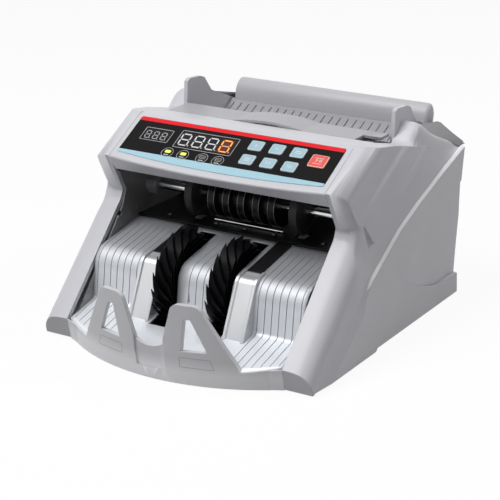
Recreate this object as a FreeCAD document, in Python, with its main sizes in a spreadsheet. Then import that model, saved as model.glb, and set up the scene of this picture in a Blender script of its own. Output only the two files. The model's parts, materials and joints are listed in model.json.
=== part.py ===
import FreeCAD, Part
import math
import os
import re
import Sketcher

# Banknote counting machine. Millimetres, +X to the viewer's right, front towards -Y, +Z up,
# origin on the table under the middle of the machine. Side outlines are given as (y, z).
DIMENSIONS = {
    # shells
    "half_width": 124, "cheek_inner": 98, "shell_bottom": 3, "cheek_wall_scale": 0.95,
    "cavity_outer": 114, "cavity_centre_y": 40, "cavity_centre_z": 70,
    "toe_y": -114, "brow_y": -118, "brow_z": 19, "throat_y": -42.5, "throat_z": 97,
    "waist_y": -38, "waist_z": 106, "lip_low_y": -48.3, "lip_low_z": 124.8, "flank_lip_y": -36,
    "flank_lip_z": 126, "lip_edge_y": -57, "lip_edge_z": 137.16, "lip_round": 2.2, "ridge_round": 5,
    "ridge_y": -10, "ridge_z": 163.1, "ledge_front_y": 24, "ledge_front_z": 157.2, "lip_bow": 5,
    "shoulder_y": 69, "shoulder_z": 164.8, "rear_top_y": 146, "rear_top_z": 127,
    "rear_foot_y": 143, "rear_waist_y": 138, "rear_waist_z": 60,
    "crease_front_y": -54, "crease_front_z": 46, "crease_rear_y": 135, "crease_rear_z": 131,
    "toe_outer_y": -107.6, "trim_depth": 23, "crease_ledge": 1.8, "front_fade": 16, "rear_fade": 6,
    "hood_width": 16.5, "hood_roll": 12, "hood_flare": 7.5, "hood_drop": 57,
    "hood_under": 6, "hood_deep": -80, "hood_front": -28.6, "hood_side_front": -19, "hood_reach": 112,
    "hood_rear_y": 80, "hood_rear_z": 143, "hood_wall": 3, "recess_face": 121.5, "scoop_depth": 4,
    "tab_inner": 95.6, "tab_front_y": 53.6, "tab_top_z": 177, "tab_rear_y": 140,
    # side plates and base
    "plate_inner": 96.5, "plate_outer": 98, "tray_half": 97.8, "tray_top": 4.6, "plate_rear": 137,
    "foot_x": 88, "foot_front_y": -101, "foot_rear_y": 125, "foot_radius": 9,
    # front wall with the two stops
    "wall_centre_y": 15, "wall_radius": 160, "wall_lean": 0.1, "wall_thick": 4, "wall_top": 75,
    "wall_bottom": 1, "stop_foot_x": 70.3, "stop_foot_z": 14.7, "stop_top_z": 66.3,
    "stop_top_outer_x": 42.8, "stop_top_inner_x": 22.5, "saddle_x": 12, "saddle_z": 31,
    "saddle_low_z": 27.5, "saddle_step": 1.4, "crease_z": 10, "stop_round": 7,
    "window_low_z": 28.3, "window_top_z": 55, "window_low_in": 27.4, "window_low_out": 48,
    "window_top_in": 31.5, "window_top_out": 36.8,
    # stacker bed and its slides
    "bed_half": 96.5, "bed_rear_y": -19.5, "bed_rear_z": 77.5, "knee_y": -79.5, "knee_z": 65.9,
    "knee_round": 16, "sheet": 2, "bed_foot_y": -84.5, "bed_foot_z": 26.9, "floor_end_y": -146,
    "floor_end_z": 11.5, "slot_in": 17, "slot_out": 32, "slot_front_y": -100.7, "slot_rear_y": -23.5,
    "channel_in": 37, "channel_out": 48.5, "channel_front_y": -66,
    "slide_in": 34, "slide_out": 53, "slide_rim": 3, "slide_dip": 1.5, "slide_foot_y": -101.5,
    "slide_foot_z": 22.64, "slide_top_y": -79, "slide_top_z": 67.3, "slide_back_y": -66,
    # shafts and rollers
    "shaft_radius": 4, "running_gap": 0.05,
    "drum_y": 0.5, "drum_z": 101, "drum_radius": 17.5, "drum_core": 12.5, "drum_half": 31,
    "disc_width": 6.4, "disc_count": 5, "wheel_x": 48.5, "wheel_width": 7, "wheel_radius": 20,
    "wheel_hub": 8, "drum_pulley": 16, "feed_y": 62, "feed_z": 100, "feed_radius": 18, "feed_x": 28,
    "feed_width": 20, "feed_pulley": 14, "stack_y": -56, "stack_z": 47.5, "blade_reach": 42,
    "blade_count": 16, "blade_thick": 1.6, "blade_sweep": -78, "blade_width": 13, "stack_hub": 11,
    "stack_pulley": 11, "pinch_z": 72, "pinch_radius": 8.7, "pinch_shaft": 2.5,
    "motor_y": 95, "motor_z": 42, "motor_radius": 21, "motor_left": 34, "motor_pulley": 8, "motor_shaft": 3,
    "belt_left": 101, "belt_width": 6, "belt_thick": 1.4, "belt_gap": 0.3, "flange": 1.2,
    "bush_radius": 9, "small_bush": 8, "bush_reach": 87,
    # note path under the head
    "baffle_low": 78, "baffle_top": 79.5, "baffle_rear_y": 48, "guide_rod": 1.2,
    # control head, its panel and keys (panel places are along the slope)
    "head_half": 98, "head_skin": 2.5, "panel_y": -31.2, "panel_z": 151.4, "panel_tilt": 28.9,
    "overlay_half": 93.5, "overlay_top": 19.1, "overlay_low": -19.5, "overlay_bow": -25,
    "overlay_thick": 0.5, "board_half": 91, "board_low": -16, "board_high": 16, "board_deep": -9,
    "board_thick": 1.6, "opening_half": 87.5, "skin_under": -3.5, "board_post": 1.2,
    "key_width": 12, "key_height": 10.5, "key_round": 1.6, "key_proud": 1.3, "key_deep": -6.6,
    "key_gap": 0.3, "key_rim": 0.9, "rim_top": -0.3, "key_column": 20.5, "key_pitch": 18.7,
    "key_row_high": 6.7, "key_row_low": -9, "start_x": 77.8, "start_v": 1.4, "start_width": 14.6,
    "start_height": 13, "batch_left": -81, "batch_right": -57, "batch_low": -4.5, "batch_high": 8,
    "count_left": -49, "count_right": 3, "count_low": -7, "count_high": 10.3,
    "lamp_v": -14.7, "lamp_radius": 3.8, "window_drop": 0.2,
    # hopper
    "cover_half": 94.8, "cover_front_y": 24.6, "cover_rear_y": 53.2, "cover_low": 155, "cover_top": 157.2,
    "arch_half": 27, "arch_rise": 3.2, "hinge_y": 50.5, "hinge_z": 152.4, "hinge_pin": 1.2, "hinge_x": 78,
    "knuckle": 2.3, "front_wall_y": 55, "front_wall_low": 122, "front_wall_top": 149.5,
    "tray_low_y": 57, "tray_low_z": 113, "tray_high_y": 124, "tray_high_z": 145.5, "tray_half_x": 95.3,
    "front_half": 95.3, "rib_count": 25, "rib_width": 1.5, "rib_height": 1.2, "rest_half": 91.5,
    # thickness screw beside the cover
    "screw_x": 86, "screw_y": 33, "screw_radius": 5, "screw_top": 153.5,
    # rear cover and mains fittings
    "rear_face": 143.5, "rear_skin": 2.5, "rear_top": 145.5, "rear_wing_x": 120, "rear_wing_low": 131.2,
    "bezel_face": 145.5, "inlet_x": -58, "inlet_z": 32, "inlet_half_x": 12, "inlet_half_z": 8.2,
    "inlet_deep": 126, "switch_x": -12, "switch_z": 32, "rocker_half_x": 6.5, "rocker_half_z": 9.5,
    "rocker_tilt": 8, "rocker_pin": 1.2, "fuse_x": 26, "vent_count": 9, "vent_pitch": 11, "vent_width": 3,
}

doc = FreeCAD.newDocument("BanknoteCounter")
Vector = FreeCAD.Vector
sheet = doc.addObject("Spreadsheet::Sheet", "Dims")
for row, (alias, number) in enumerate(DIMENSIONS.items(), 1):
    sheet.set(f"A{row}", alias)
    sheet.set(f"B{row}", str(number))
    sheet.setAlias(f"B{row}", alias)
doc.recompute()

nodes = {}


def formula(text):
    """Words that are cells of the sheet become references to it."""
    def reference(match):
        word = match.group()
        return "Dims." + word if word in DIMENSIONS else word
    return re.sub(r"[A-Za-z_]\w*", reference, str(text))


def value(text):
    return float(sheet.evalExpression(formula(text)))


def node(name, thing):
    thing.Label = name
    nodes[name] = thing
    return thing


def bind(thing, **formulas):
    for place, text in formulas.items():
        thing.setExpression(place.replace("__", "."), formula(text))
    return thing


def box(name, x, y, z):
    """A block between the low and high formulas of each axis."""
    block = doc.addObject("Part::Box", name)
    for axis, side, (low, high) in zip("xyz", ("Length", "Width", "Height"), (x, y, z)):
        block.setExpression("Placement.Base." + axis, formula(low))
        block.setExpression(side, formula(f"({high}) - ({low})"))
    return block


def bolt(name, radius, centre, span):
    """A cylinder along Y about a centre (x, z)."""
    bar = doc.addObject("Part::Cylinder", name)
    bar.Placement = FreeCAD.Placement(Vector(), FreeCAD.Rotation(Vector(1, 0, 0), -90))
    bind(bar, Radius=radius, Height=f"({span[1]}) - ({span[0]})")
    return bind(bar, Placement__Base__x=centre[0], Placement__Base__y=span[0], Placement__Base__z=centre[1])


def rod(name, radius, centre, span):
    """A cylinder along X about a centre (y, z), from the first to the second value of span."""
    bar = doc.addObject("Part::Cylinder", name)
    bar.Placement = FreeCAD.Placement(Vector(), FreeCAD.Rotation(Vector(0, 1, 0), 90))
    bind(bar, Radius=radius, Height=f"({span[1]}) - ({span[0]})")
    bind(bar, Placement__Base__x=span[0], Placement__Base__y=centre[0], Placement__Base__z=centre[1])
    return bar


def post(name, radius, centre, span):
    """An upright cylinder about a centre (x, y)."""
    bar = doc.addObject("Part::Cylinder", name)
    bind(bar, Radius=radius, Height=f"({span[1]}) - ({span[0]})")
    bind(bar, Placement__Base__x=centre[0], Placement__Base__y=centre[1], Placement__Base__z=span[0])
    return bar


def draw(body, name, plane, offset, points):
    """A closed sketch; a point's third item is where the arc to the next point passes."""
    sketch = body.newObject("Sketcher::SketchObject", name)
    origin = next(part for part in body.Origin.OriginFeatures if part.Role == plane + "_Plane")
    sketch.AttachmentSupport = [(origin, "")]
    sketch.MapMode = "FlatFace"
    sketch.setExpression("AttachmentOffset.Base.z", formula(offset))
    spots = [Vector(value(point[0]), value(point[1]), 0) for point in points]
    starts = []
    ends = []
    for index, point in enumerate(points):
        here = spots[index]
        there = spots[(index + 1) % len(points)]
        if len(point) == 2:
            sketch.addGeometry(Part.LineSegment(here, there), False)
        else:
            middle = Vector(value(point[2][0]), value(point[2][1]), 0)
            sketch.addGeometry(Part.Arc(here, middle, there), False)
        forward = sketch.getPoint(index, 1).distanceToPoint(here) < 1e-6
        starts.append(1 if forward else 2)
        ends.append(2 if forward else 1)
    for index in range(len(points)):
        following = (index + 1) % len(points)
        sketch.addConstraint(Sketcher.Constraint("Coincident", index, ends[index], following,
                                                 starts[following]))
    for index, point in enumerate(points):
        fix(sketch, index, starts[index], spots[index], point)
    for index, point in enumerate(points):
        if len(point) == 3:
            middle = Vector(value(point[2][0]), value(point[2][1]), 0)
            mark = sketch.addGeometry(Part.Point(middle), True)
            fix(sketch, mark, 1, middle, point[2])
            sketch.addConstraint(Sketcher.Constraint("PointOnObject", mark, 1, index))
    return sketch


def fix(sketch, geometry, end, spot, point):
    """Ties a sketch point to its two formulas."""
    for kind, number, text in (("DistanceX", spot.x, point[0]), ("DistanceY", spot.y, point[1])):
        index = sketch.addConstraint(Sketcher.Constraint(kind, -1, 1, geometry, end, number))
        sketch.setExpression(f"Constraints[{index}]", formula(text))


def lifted(body, sketch, name, length):
    pad = body.newObject("PartDesign::Pad", name)
    pad.Profile = sketch
    pad.setExpression("Length", formula(length))
    doc.recompute()
    return pad


def rounded(body, solid, plane, radius, spots):
    """Rounds the edges that run square to the plane through the given points."""
    first, second = {"YZ": (1, 2), "XZ": (0, 2), "XY": (0, 1)}[plane]
    places = [(value(u), value(v)) for u, v in spots]
    names = []
    for number, edge in enumerate(solid.Shape.Edges, 1):
        ends = [vertex.Point for vertex in edge.Vertexes]
        for u, v in places:
            if len(ends) == 2 and all(math.hypot(end[first] - u, end[second] - v) < 1e-3 for end in ends):
                names.append(f"Edge{number}")
    fillet = body.newObject("PartDesign::Fillet", body.Name + "_round")
    fillet.Base = (solid, names)
    fillet.setExpression("Radius", formula(radius))
    doc.recompute()
    return fillet


def prism(name, plane, points, low, high, rounds=()):
    """A sketch on a main plane, padded from low to high along the plane's axis."""
    body = doc.addObject("PartDesign::Body", name)
    offset = f"-({high})" if plane == "XZ" else low
    sketch = draw(body, name + "_sketch", plane, offset, points)
    solid = lifted(body, sketch, name + "_pad", f"({high}) - ({low})")
    for radius, spots in rounds:
        solid = rounded(body, solid, plane, radius, spots)
    return body


def turned(name, points, centre):
    """A profile of (x, radius) points revolved about an X axis through (y, z)."""
    body = doc.addObject("PartDesign::Body", name)
    sketch = draw(body, name + "_sketch", "XY", "0", points)
    spin = body.newObject("PartDesign::Revolution", name + "_turn")
    spin.Profile = sketch
    spin.ReferenceAxis = (sketch, ["H_Axis"])
    spin.Angle = 360
    doc.recompute()
    bind(body, Placement__Base__y=centre[0], Placement__Base__z=centre[1])
    return body


def fuse(name, *pieces):
    joined = doc.addObject("Part::MultiFuse", name)
    joined.Shapes = list(pieces)
    return joined


def group(name, pieces):
    together = doc.addObject("Part::Compound", name)
    together.Links = list(pieces)
    return together


def cut(name, base, *tools):
    result = doc.addObject("Part::Cut", name)
    result.Base = base
    result.Tool = tools[0] if len(tools) == 1 else group(name + "_tools", tools)
    return result


def common(name, base, tool):
    result = doc.addObject("Part::Common", name)
    result.Base = base
    result.Tool = tool
    return result


def shaped(name, shape):
    feature = doc.addObject("Part::Feature", name)
    feature.Shape = shape
    return feature


def mirrored(name, source):
    twin = doc.addObject("Part::Mirroring", name)
    twin.Source = source
    twin.Normal = Vector(1, 0, 0)
    return twin


def rectangle(left, right, low, high):
    return [(left, low), (right, low), (right, high), (left, high)]


def on_panel(body):
    """Lays a piece drawn flat, with the panel's middle at its origin, on the sloping panel."""
    body.Placement.Rotation = FreeCAD.Rotation(Vector(1, 0, 0), value("panel_tilt"))
    return bind(body, Placement__Base__y="panel_y", Placement__Base__z="panel_z")


# Cheeks: lofts along X from the inner side outline to the smaller outer one, as a moulded quarter round.
def point_on(spot, x):
    return Vector(x, spot[0], spot[1])


def side_wire(spots, x):
    """The closed side outline at x; three spots in a row make an arc, more make a smooth curve."""
    edges = []
    for run in spots:
        points = [point_on(spot, x) for spot in run]
        if len(points) == 2:
            edges.append(Part.makeLine(*points))
        elif len(points) == 3:
            edges.append(Part.Arc(*points).toShape())
        else:
            curve = Part.BSplineCurve()
            curve.interpolate(points)
            edges.append(curve.toShape())
    return Part.Wire(edges)


def between(inner, outer, front, top):
    """Runs of spots part of the way from the inner outline to the outer one, by shares for front and top."""
    ends = [(front, top), (top, top), (top, top), (top, top), (top, front), (front, front)]
    runs = []
    for near, far, (first, last) in zip(inner, outer, ends):
        steps = len(near) - 1
        shares = [first + (last - first) * step / steps for step in range(steps + 1)]
        runs.append([(a[0] + (b[0] - a[0]) * share, a[1] + (b[1] - a[1]) * share)
                     for a, b, share in zip(near, far, shares)])
    return runs


def around(spots, scale):
    centre = (value("cavity_centre_y"), value("cavity_centre_z"))
    return [[tuple(c + (p - c) * scale for p, c in zip(spot, centre)) for spot in run] for run in spots]


# The flank's sections: how far out each one is, and how far its front and its top have turned by then.
# The front is a full round. The top has a crisp edge, falls steeply and flares out to the crease.
FLANK_TURN = [(0, 0, 0), (0.35, 0.011, 0.004), (0.55, 0.049, 0.02), (0.66, 0.092, 0.06),
              (0.72, 0.126, 0.14), (0.76, 0.154, 0.3), (0.8, 0.19, 0.5), (0.85, 0.245, 0.66),
              (0.9, 0.324, 0.79), (0.95, 0.449, 0.9), (0.98, 0.578, 0.96), (1, 1, 1)]


def along(start, end, height):
    """The place where the line through two spots reaches a height."""
    return (start[0] + (end[0] - start[0]) * (height - start[1]) / (end[1] - start[1]), height)


def rounded_corner(before, corner, after, length):
    """Three spots of the arc that rounds a corner, each tangent as long as length."""
    arms = []
    for spot in (before, after):
        reach = math.dist(spot, corner)
        arms.append(((spot[0] - corner[0]) / reach, (spot[1] - corner[1]) / reach))
    half_angle = math.acos(sum(a * b for a, b in zip(*arms))) / 2
    radius = length * math.tan(half_angle)
    depth = radius / math.sin(half_angle) - radius
    inward = [sum(pair) / (2 * math.cos(half_angle)) for pair in zip(*arms)]
    ends = [(corner[0] + arm[0] * length, corner[1] + arm[1] * length) for arm in arms]
    return [ends[0], (corner[0] + inward[0] * depth, corner[1] + inward[1] * depth), ends[1]]


def flank_outlines():
    """The side outline at the inner face and the one where the flat outer side begins."""
    below = value("shell_bottom - trim_depth")
    heel = (value("rear_foot_y"), below)
    throat = (value("throat_y"), value("throat_z"))
    toe = along(throat, (value("brow_y"), value("brow_z")), below)
    waist = (value("waist_y"), value("waist_z"))
    lip = (value("flank_lip_y"), value("flank_lip_z"))
    rear_top = (value("rear_top_y"), value("rear_top_z"))
    rear_waist = (value("rear_waist_y"), value("rear_waist_z"))
    shoulder = (value("shoulder_y"), value("shoulder_z"))
    swoop = [rear_top, (125, 138), (105, 146.3), (88, 155), (77, 162), shoulder, (61, 160.5), (51, 151),
             (34, 143)]
    inner = [[toe, heel], [heel, rear_waist, rear_top], swoop, [swoop[-1], lip], [lip, waist, throat],
             [throat, toe]]
    crease_front = (value("crease_front_y"), value("crease_front_z"))
    crease_rear = (value("crease_rear_y"), value("crease_rear_z"))
    crease = [crease_rear, (118, 126), (101, 120.8), (84, 115), (68, 109.6), (55, 105.2), (43, 100.6),
              (31, 95.8), (20, 91)]
    toe_out = along(crease_front, (value("toe_outer_y"), value("shell_bottom")), below)
    heel_out = (heel[0] - 4, below)
    rear_waist_out = (rear_waist[0] - 4.5, rear_waist[1] - 4)
    knuckle = (-20, 67.5)
    outer = [[toe_out, heel_out], [heel_out, rear_waist_out, crease_rear], crease, [crease[-1], knuckle],
             [knuckle, (-38, 55.8), crease_front], [crease_front, toe_out]]
    return inner, outer


def flank_sections(scale, reach):
    inner, outer = flank_outlines()
    inner = around(inner, scale)
    outer = around(outer, scale)
    start = value("cheek_inner")
    wires = []
    for out, front, top in FLANK_TURN:
        wires.append(side_wire(between(inner, outer, front, top), start + (reach - start) * out))
    return wires


def side_face():
    """The flat side's outline: on the crease, and drawn in where its ledge fades out at front and rear."""
    floor, rear, crease, front, bend, toe = flank_outlines()[1]
    heel = (rear[0][0] - value("rear_fade"), rear[0][1])
    waist = (rear[1][0] - value("rear_fade"), rear[1][1])
    toe_end = (toe[1][0] + value("front_fade"), toe[1][1])
    brow = (toe[0][0] + value("front_fade"), toe[0][1] - value("front_fade") / 3)
    middle = (bend[1][0] + value("front_fade") / 4, bend[1][1] - value("front_fade") / 12)
    return [[toe_end, heel], [heel, waist, rear[2]], crease, front, [bend[0], middle, brow],
            [brow, toe_end]]


def flank():
    """The outer skin: a moulded quarter round up to the crease, a narrow ledge and the flat side."""
    wires = flank_sections(1, value("half_width - crease_ledge"))
    wires.append(side_wire(side_face(), value("half_width")))
    return Part.makeLoft(wires, True, True)


def hood_profile(inset):
    """The hood across the slope: a flat top that rolls over to a flaring side, then the underside."""
    start = f"cheek_inner + hood_width - hood_roll - {inset}"
    roll = (f"{start} + hood_roll * sin(45 deg)", f"-{inset} - hood_roll * (1 - cos(45 deg))")
    waist = (f"{start} + hood_roll + hood_flare / 4", f"-{inset} - (hood_roll + hood_drop) / 2")
    under = f"-hood_drop - hood_under + {inset}"
    return [(start, f"-{inset}", roll), (f"{start} + hood_roll", f"-{inset} - hood_roll", waist),
            (f"{start} + hood_roll + hood_flare", f"-hood_drop - {inset}"), ("cheek_inner + 8", under),
            ("cheek_inner - 0.5", under), ("cheek_inner - 0.5", f"-{inset}")]


def hood_body(name, inset):
    """The rounded side of the control head: drawn along the panel's slope, cut off behind the ridge."""
    along_slope = on_panel(prism(name + "_run", "XZ", hood_profile(inset), "hood_front - 8", "hood_reach"))
    front = f"hood_front + {inset}"
    side_front = f"hood_side_front + {inset}"
    plan = [("cheek_inner - 1", front), ("cheek_inner", front, ("cheek_inner + 11.5", f"{front} + 0.9")),
            ("cheek_inner + 17.4", f"{front} + 4", ("cheek_inner + 18.4", f"{front} + 6.5")),
            ("cheek_inner + 19", side_front), ("half_width + 1", side_front),
            ("half_width + 1", "hood_reach"), ("cheek_inner - 1", "hood_reach")]
    room = on_panel(prism(name + "_plan", "XY", plan, "hood_deep - 1", "5"))
    ended = common(name + "_ended", along_slope, room)
    rear = f"hood_rear_y - 5 * {inset}"
    side = [("-100", "60"), (rear, "60"), (rear, f"hood_rear_z - {inset}"),
            ("ledge_front_y", f"ledge_front_z - {inset}"), ("ridge_y", f"ridge_z - {inset}"),
            ("-100", f"ridge_z - {inset}")]
    return common(name, ended, prism(name + "_side", "YZ", side, "cheek_inner - 2", "half_width + 1"))


def hood():
    """The hood outside the head's end; its front edge stays crisp."""
    inside = box("hood_inside", ("90", "cheek_inner"), ("-120", "120"), ("40", "200"))
    return cut("hood", hood_body("hood_full", "0"), inside)


def right_cheek():
    end_face = [("toe_y", "shell_bottom"), ("160", "shell_bottom"), ("160", "200"), ("brow_y - 1", "200"),
                ("brow_y - 1", "brow_z + 4")]
    flank_room = prism("flank_room", "YZ", end_face, "90", "130")
    standing = common("flank_standing", shaped("flank", flank()), flank_room)
    outside = fuse("cheek_outside", standing, hood(), hopper_tab())
    inside = flank_sections(value("cheek_wall_scale"), value("cavity_outer"))
    cavity = shaped("cheek_cavity", Part.makeLoft(inside, True, True))
    cavity.Placement.Base = Vector(-0.5, 0, 0)
    crease = [("122.7", "101"), ("76.6", "83.7"), ("41.6", "64.4"), ("22", "41.2"), ("-7.4", "13.2"),
              ("-20", "0")]
    recess = prism("side_recess", "YZ", crease + [("160", "0"), ("160", "112")], "recess_face",
                   "half_width + 6")
    skin = cut("cheek_skin", outside, recess, side_scoop())
    return cut("right_cheek", skin, cavity, hood_body("hood_cavity", "hood_wall"))


def side_scoop():
    """The hollow low on the flank: it deepens downwards to a crisp curved lip."""
    area = [("30.5", "48.5"), ("60", "72"), ("122", "95"), ("165", "95"), ("165", "20", ("92", "22"))]
    outline = prism("scoop_outline", "YZ", area, "cavity_outer", "half_width + 8")
    slope = prism("scoop_slope", "XZ", [("recess_face - scoop_depth", "20"), ("half_width + 20", "20"),
                                        ("half_width + 20", "95"), ("recess_face + 0.6", "80")], "0", "180")
    return common("side_scoop", outline, slope)


def hopper_tab():
    """The thin upright guide that stands on the cheek beside the hopper, with the low wall behind it."""
    points = [("tab_front_y", "146"), ("tab_rear_y", "125"), ("tab_rear_y", "141"),
              ("tab_front_y + 38.5", "160"), ("tab_front_y + 27.5", "173.5"),
              ("tab_front_y + 21", "tab_top_z - 1.2"), ("tab_front_y + 5", "tab_top_z"),
              ("tab_front_y + 1.6", "tab_top_z - 2.6")]
    return prism("hopper_tab", "YZ", points, "tab_inner", "cheek_inner + 1.2")


node("right_cheek", right_cheek())
node("left_cheek", mirrored("left_cheek", nodes["right_cheek"]))


# Base with its feet, and the two steel side plates that carry every shaft.
tray_plan = [("-tray_half", "-105.6", ("0", "-140.2")), ("tray_half", "-105.6"), ("tray_half", "rear_face"),
             ("-tray_half", "rear_face")]
node("base_tray", prism("base_tray", "XY", tray_plan, "shell_bottom", "tray_top"))


def foot(number, x, y):
    cone = doc.addObject("Part::Cone", f"foot_{number}")
    bind(cone, Radius1="foot_radius - 1", Radius2="foot_radius", Height="shell_bottom")
    return bind(cone, Placement__Base__x=x, Placement__Base__y=y)


feet = [("foot_x", "foot_front_y"), ("-foot_x", "foot_front_y"), ("foot_x", "foot_rear_y"),
        ("-foot_x", "foot_rear_y")]
node("rubber_feet", group("rubber_feet", [foot(number, x, y) for number, (x, y) in enumerate(feet)]))


def side_plate():
    """A right side plate with its bearing holes and three small punched holes near the note path."""
    points = [("-105.6", "tray_top"), ("-107.4", "brow_z - 2"), ("throat_y + 2", "throat_z - 4.5"),
              ("waist_y + 2", "waist_z - 1"), ("lip_low_y + 4", "lip_low_z - 3"), ("20", "147"),
              ("40", "148"), ("50", "124"), ("plate_rear", "124"), ("plate_rear", "tray_top")]
    blank = prism("plate_blank", "YZ", points, "plate_inner", "plate_outer")
    holes = [rod("drum_hole", "bush_radius", ("drum_y", "drum_z"), plate_span),
             rod("feed_hole", "small_bush", ("feed_y", "feed_z"), plate_span),
             rod("stack_hole", "small_bush", ("stack_y", "stack_z"), plate_span),
             rod("pinch_hole", "pinch_shaft + running_gap", ("drum_y", "pinch_z"), plate_span)]
    for number, (radius, place) in enumerate((("1.4", ("-27", "94")), ("1.4", ("-21", "84")),
                                              ("2.2", ("-45", "86")))):
        holes.append(rod(f"punched_hole_{number}", radius, place, plate_span))
    return cut("side_plate", blank, *holes)


plate_span = ("plate_inner - 1", "plate_outer + 1")
plate = side_plate()
node("left_frame", mirrored("left_frame", plate))
motor_hole = rod("motor_hole", "motor_shaft + 4", ("motor_y", "motor_z"), plate_span)
node("right_frame", cut("right_frame", plate, motor_hole))
tie_places = [("85", "119.6"), ("45", "30"), ("-10", "16")]
ties = [rod(f"tie_{number}", "shaft_radius", place, ("-plate_inner", "plate_inner"))
        for number, place in enumerate(tie_places)]
node("frame_ties", group("frame_ties", ties))


# Front wall: a leaning, bowed wall cut to the outline of two tall stops with a finger gap between them.
def wall_cone(name, inset):
    cone = doc.addObject("Part::Cone", name)
    low = f"wall_radius - ({inset})"
    bind(cone, Radius1=low, Radius2=f"{low} + wall_lean * (wall_top - wall_bottom)")
    return bind(cone, Height="wall_top - wall_bottom", Placement__Base__y="wall_centre_y",
                Placement__Base__z="wall_bottom")


def front_wall():
    half = [("saddle_x", "saddle_z"), ("stop_top_inner_x", "stop_top_z"),
            ("stop_top_outer_x", "stop_top_z"), ("stop_foot_x", "stop_foot_z"),
            ("head_half", "brow_z - 0.3"), ("head_half", "wall_bottom")]
    other = [("-" + x, z) for x, z in reversed(half)]
    saddle = other[-1] + (("0", "saddle_low_z"),)
    tops = [spot for spot in half + other if spot[1] == "stop_top_z"]
    outline = prism("wall_outline", "XZ", half + other[:-1] + [saddle], "-175", "-90",
                    [("stop_round", tops)])
    corners = [("window_low_in", "window_low_z"), ("window_low_out", "window_low_z + 0.8"),
               ("window_top_out", "window_top_z"), ("window_top_in", "window_top_z")]
    windows = [prism("stop_window", "XZ", corners, "-175", "-90")]
    windows.append(mirrored("stop_window_left", windows[0]))
    shell = cut("wall_shell", wall_cone("wall_outer", "0"), wall_cone("wall_inner", "wall_thick"))
    gap = prism("saddle_front", "XZ", [("-saddle_x", "crease_z"), ("saddle_x", "crease_z"),
                                       ("saddle_x + 1.2", "saddle_z + 4"),
                                       ("-saddle_x - 1.2", "saddle_z + 4")], "-175", "-90")
    step = cut("saddle_step_cut", gap, wall_cone("saddle_face", "saddle_step"))
    return cut("front_wall", common("wall_body", shell, outline), *windows, step)


node("front_wall", front_wall())


# Stacker bed: one bent sheet from the note path over the knee to the sloping floor.
def stacker_bed():
    points = [("bed_rear_y", "bed_rear_z"), ("knee_y", "knee_z"), ("bed_foot_y", "bed_foot_z"),
              ("floor_end_y", "floor_end_z"), ("floor_end_y", "floor_end_z - sheet"),
              ("bed_foot_y + sheet", "bed_foot_z - 1.6"), ("knee_y + sheet", "knee_z - sheet"),
              ("bed_rear_y", "bed_rear_z - sheet")]
    rounds = [("knee_round", [points[1]]), ("knee_round - sheet", [points[6]])]
    sheet_body = prism("bed_sheet", "YZ", points, "-bed_half", "bed_half", rounds)
    tools = []
    for side, sign in (("right", ""), ("left", "-")):
        spans = [("slot_in", "slot_out", "slot_front_y", "slot_rear_y"),
                 ("channel_in", "channel_out", "channel_front_y", "0")]
        for kind, (near, far, front, rear) in zip(("slot", "channel"), spans):
            ends = (near, far) if sign == "" else ("-" + far, "-" + near)
            tools.append(box(f"bed_{kind}_{side}", ends, (front, rear), ("0", "100")))
    trimmed = common("bed_trimmed", sheet_body, wall_cone("bed_edge", "wall_thick"))
    return cut("stacker_bed", trimmed, *tools)


node("stacker_bed", stacker_bed())


def note_slide():
    """A sloping channel that carries the notes from the knee down to the floor."""
    def strip(name, left, right, dip):
        points = [("slide_back_y", f"slide_top_z + 2.6 - ({dip})"),
                  (f"slide_top_y + 0.4 * ({dip})", f"slide_top_z - ({dip})"),
                  (f"slide_foot_y + 1.2 * ({dip})", "slide_foot_z - 4"),
                  ("slide_back_y", "slide_foot_z - 4")]
        return prism(name, "YZ", points, left, right)
    rims = [strip("slide_rim_in", "slide_in", "slide_in + slide_rim", "0"),
            strip("slide_rim_out", "slide_out - slide_rim", "slide_out", "0")]
    face = strip("slide_face", "slide_in + slide_rim", "slide_out - slide_rim", "slide_dip")
    rise = "(bed_rear_z - knee_z) / (bed_rear_y - knee_y)"
    tongue = [(y, f"knee_z + ({y} - knee_y) * {rise} + {lift}")
              for y, lift in (("slide_back_y - 0.6", "-1"), ("bed_rear_y - 1.5", "-1"),
                              ("bed_rear_y - 1.5", "0.8"), ("slide_back_y - 0.6", "0.8"))]
    tail = prism("slide_tail", "YZ", tongue, "slide_in + slide_rim", "slide_out - slide_rim")
    under = [("bed_rear_y", "bed_rear_z"), ("knee_y", "knee_z"), ("bed_foot_y", "bed_foot_z"),
             ("floor_end_y", "floor_end_z"), ("floor_end_y", "0"), ("bed_rear_y", "0")]
    below_bed = prism("below_bed", "YZ", under, "-bed_half", "bed_half", [("knee_round", [under[1]])])
    return cut("note_slide_right", fuse("slide_block", *rims, face, tail), below_bed)


node("note_slide_right", note_slide())
node("note_slide_left", mirrored("note_slide_left", nodes["note_slide_right"]))


# Note path under the head: baffle, its screws, a polished guide rod and the sensors below.
baffle = box("baffle_blank", ("-bed_half", "bed_half"), ("bed_rear_y", "baffle_rear_y"),
             ("baffle_low", "baffle_top"))
pinch_slots = [box(f"pinch_slot_{side}", (f"{sign}wheel_x - wheel_width / 2 - 1",
                                          f"{sign}wheel_x + wheel_width / 2 + 1"),
                   ("drum_y - 7", "drum_y + 7"), ("baffle_low - 1", "baffle_top + 1"))
               for side, sign in (("right", ""), ("left", "-"))]
flange_span = (("-bed_half", "bed_half"), ("bed_rear_y", "bed_rear_y + sheet"),
               ("bed_rear_z - 4", "baffle_low + 0.2"))
node("baffle_plate", cut("baffle_plate", fuse("baffle_bent", baffle, box("baffle_flange", *flange_span)),
                         *pinch_slots))
baffle_screws = [post(f"baffle_screw_{number}", "2.6", (x, "-9"), ("baffle_top", "baffle_top + 1.4"))
                 for number, x in enumerate(("-72", "-27", "0", "27", "72"))]
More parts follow.
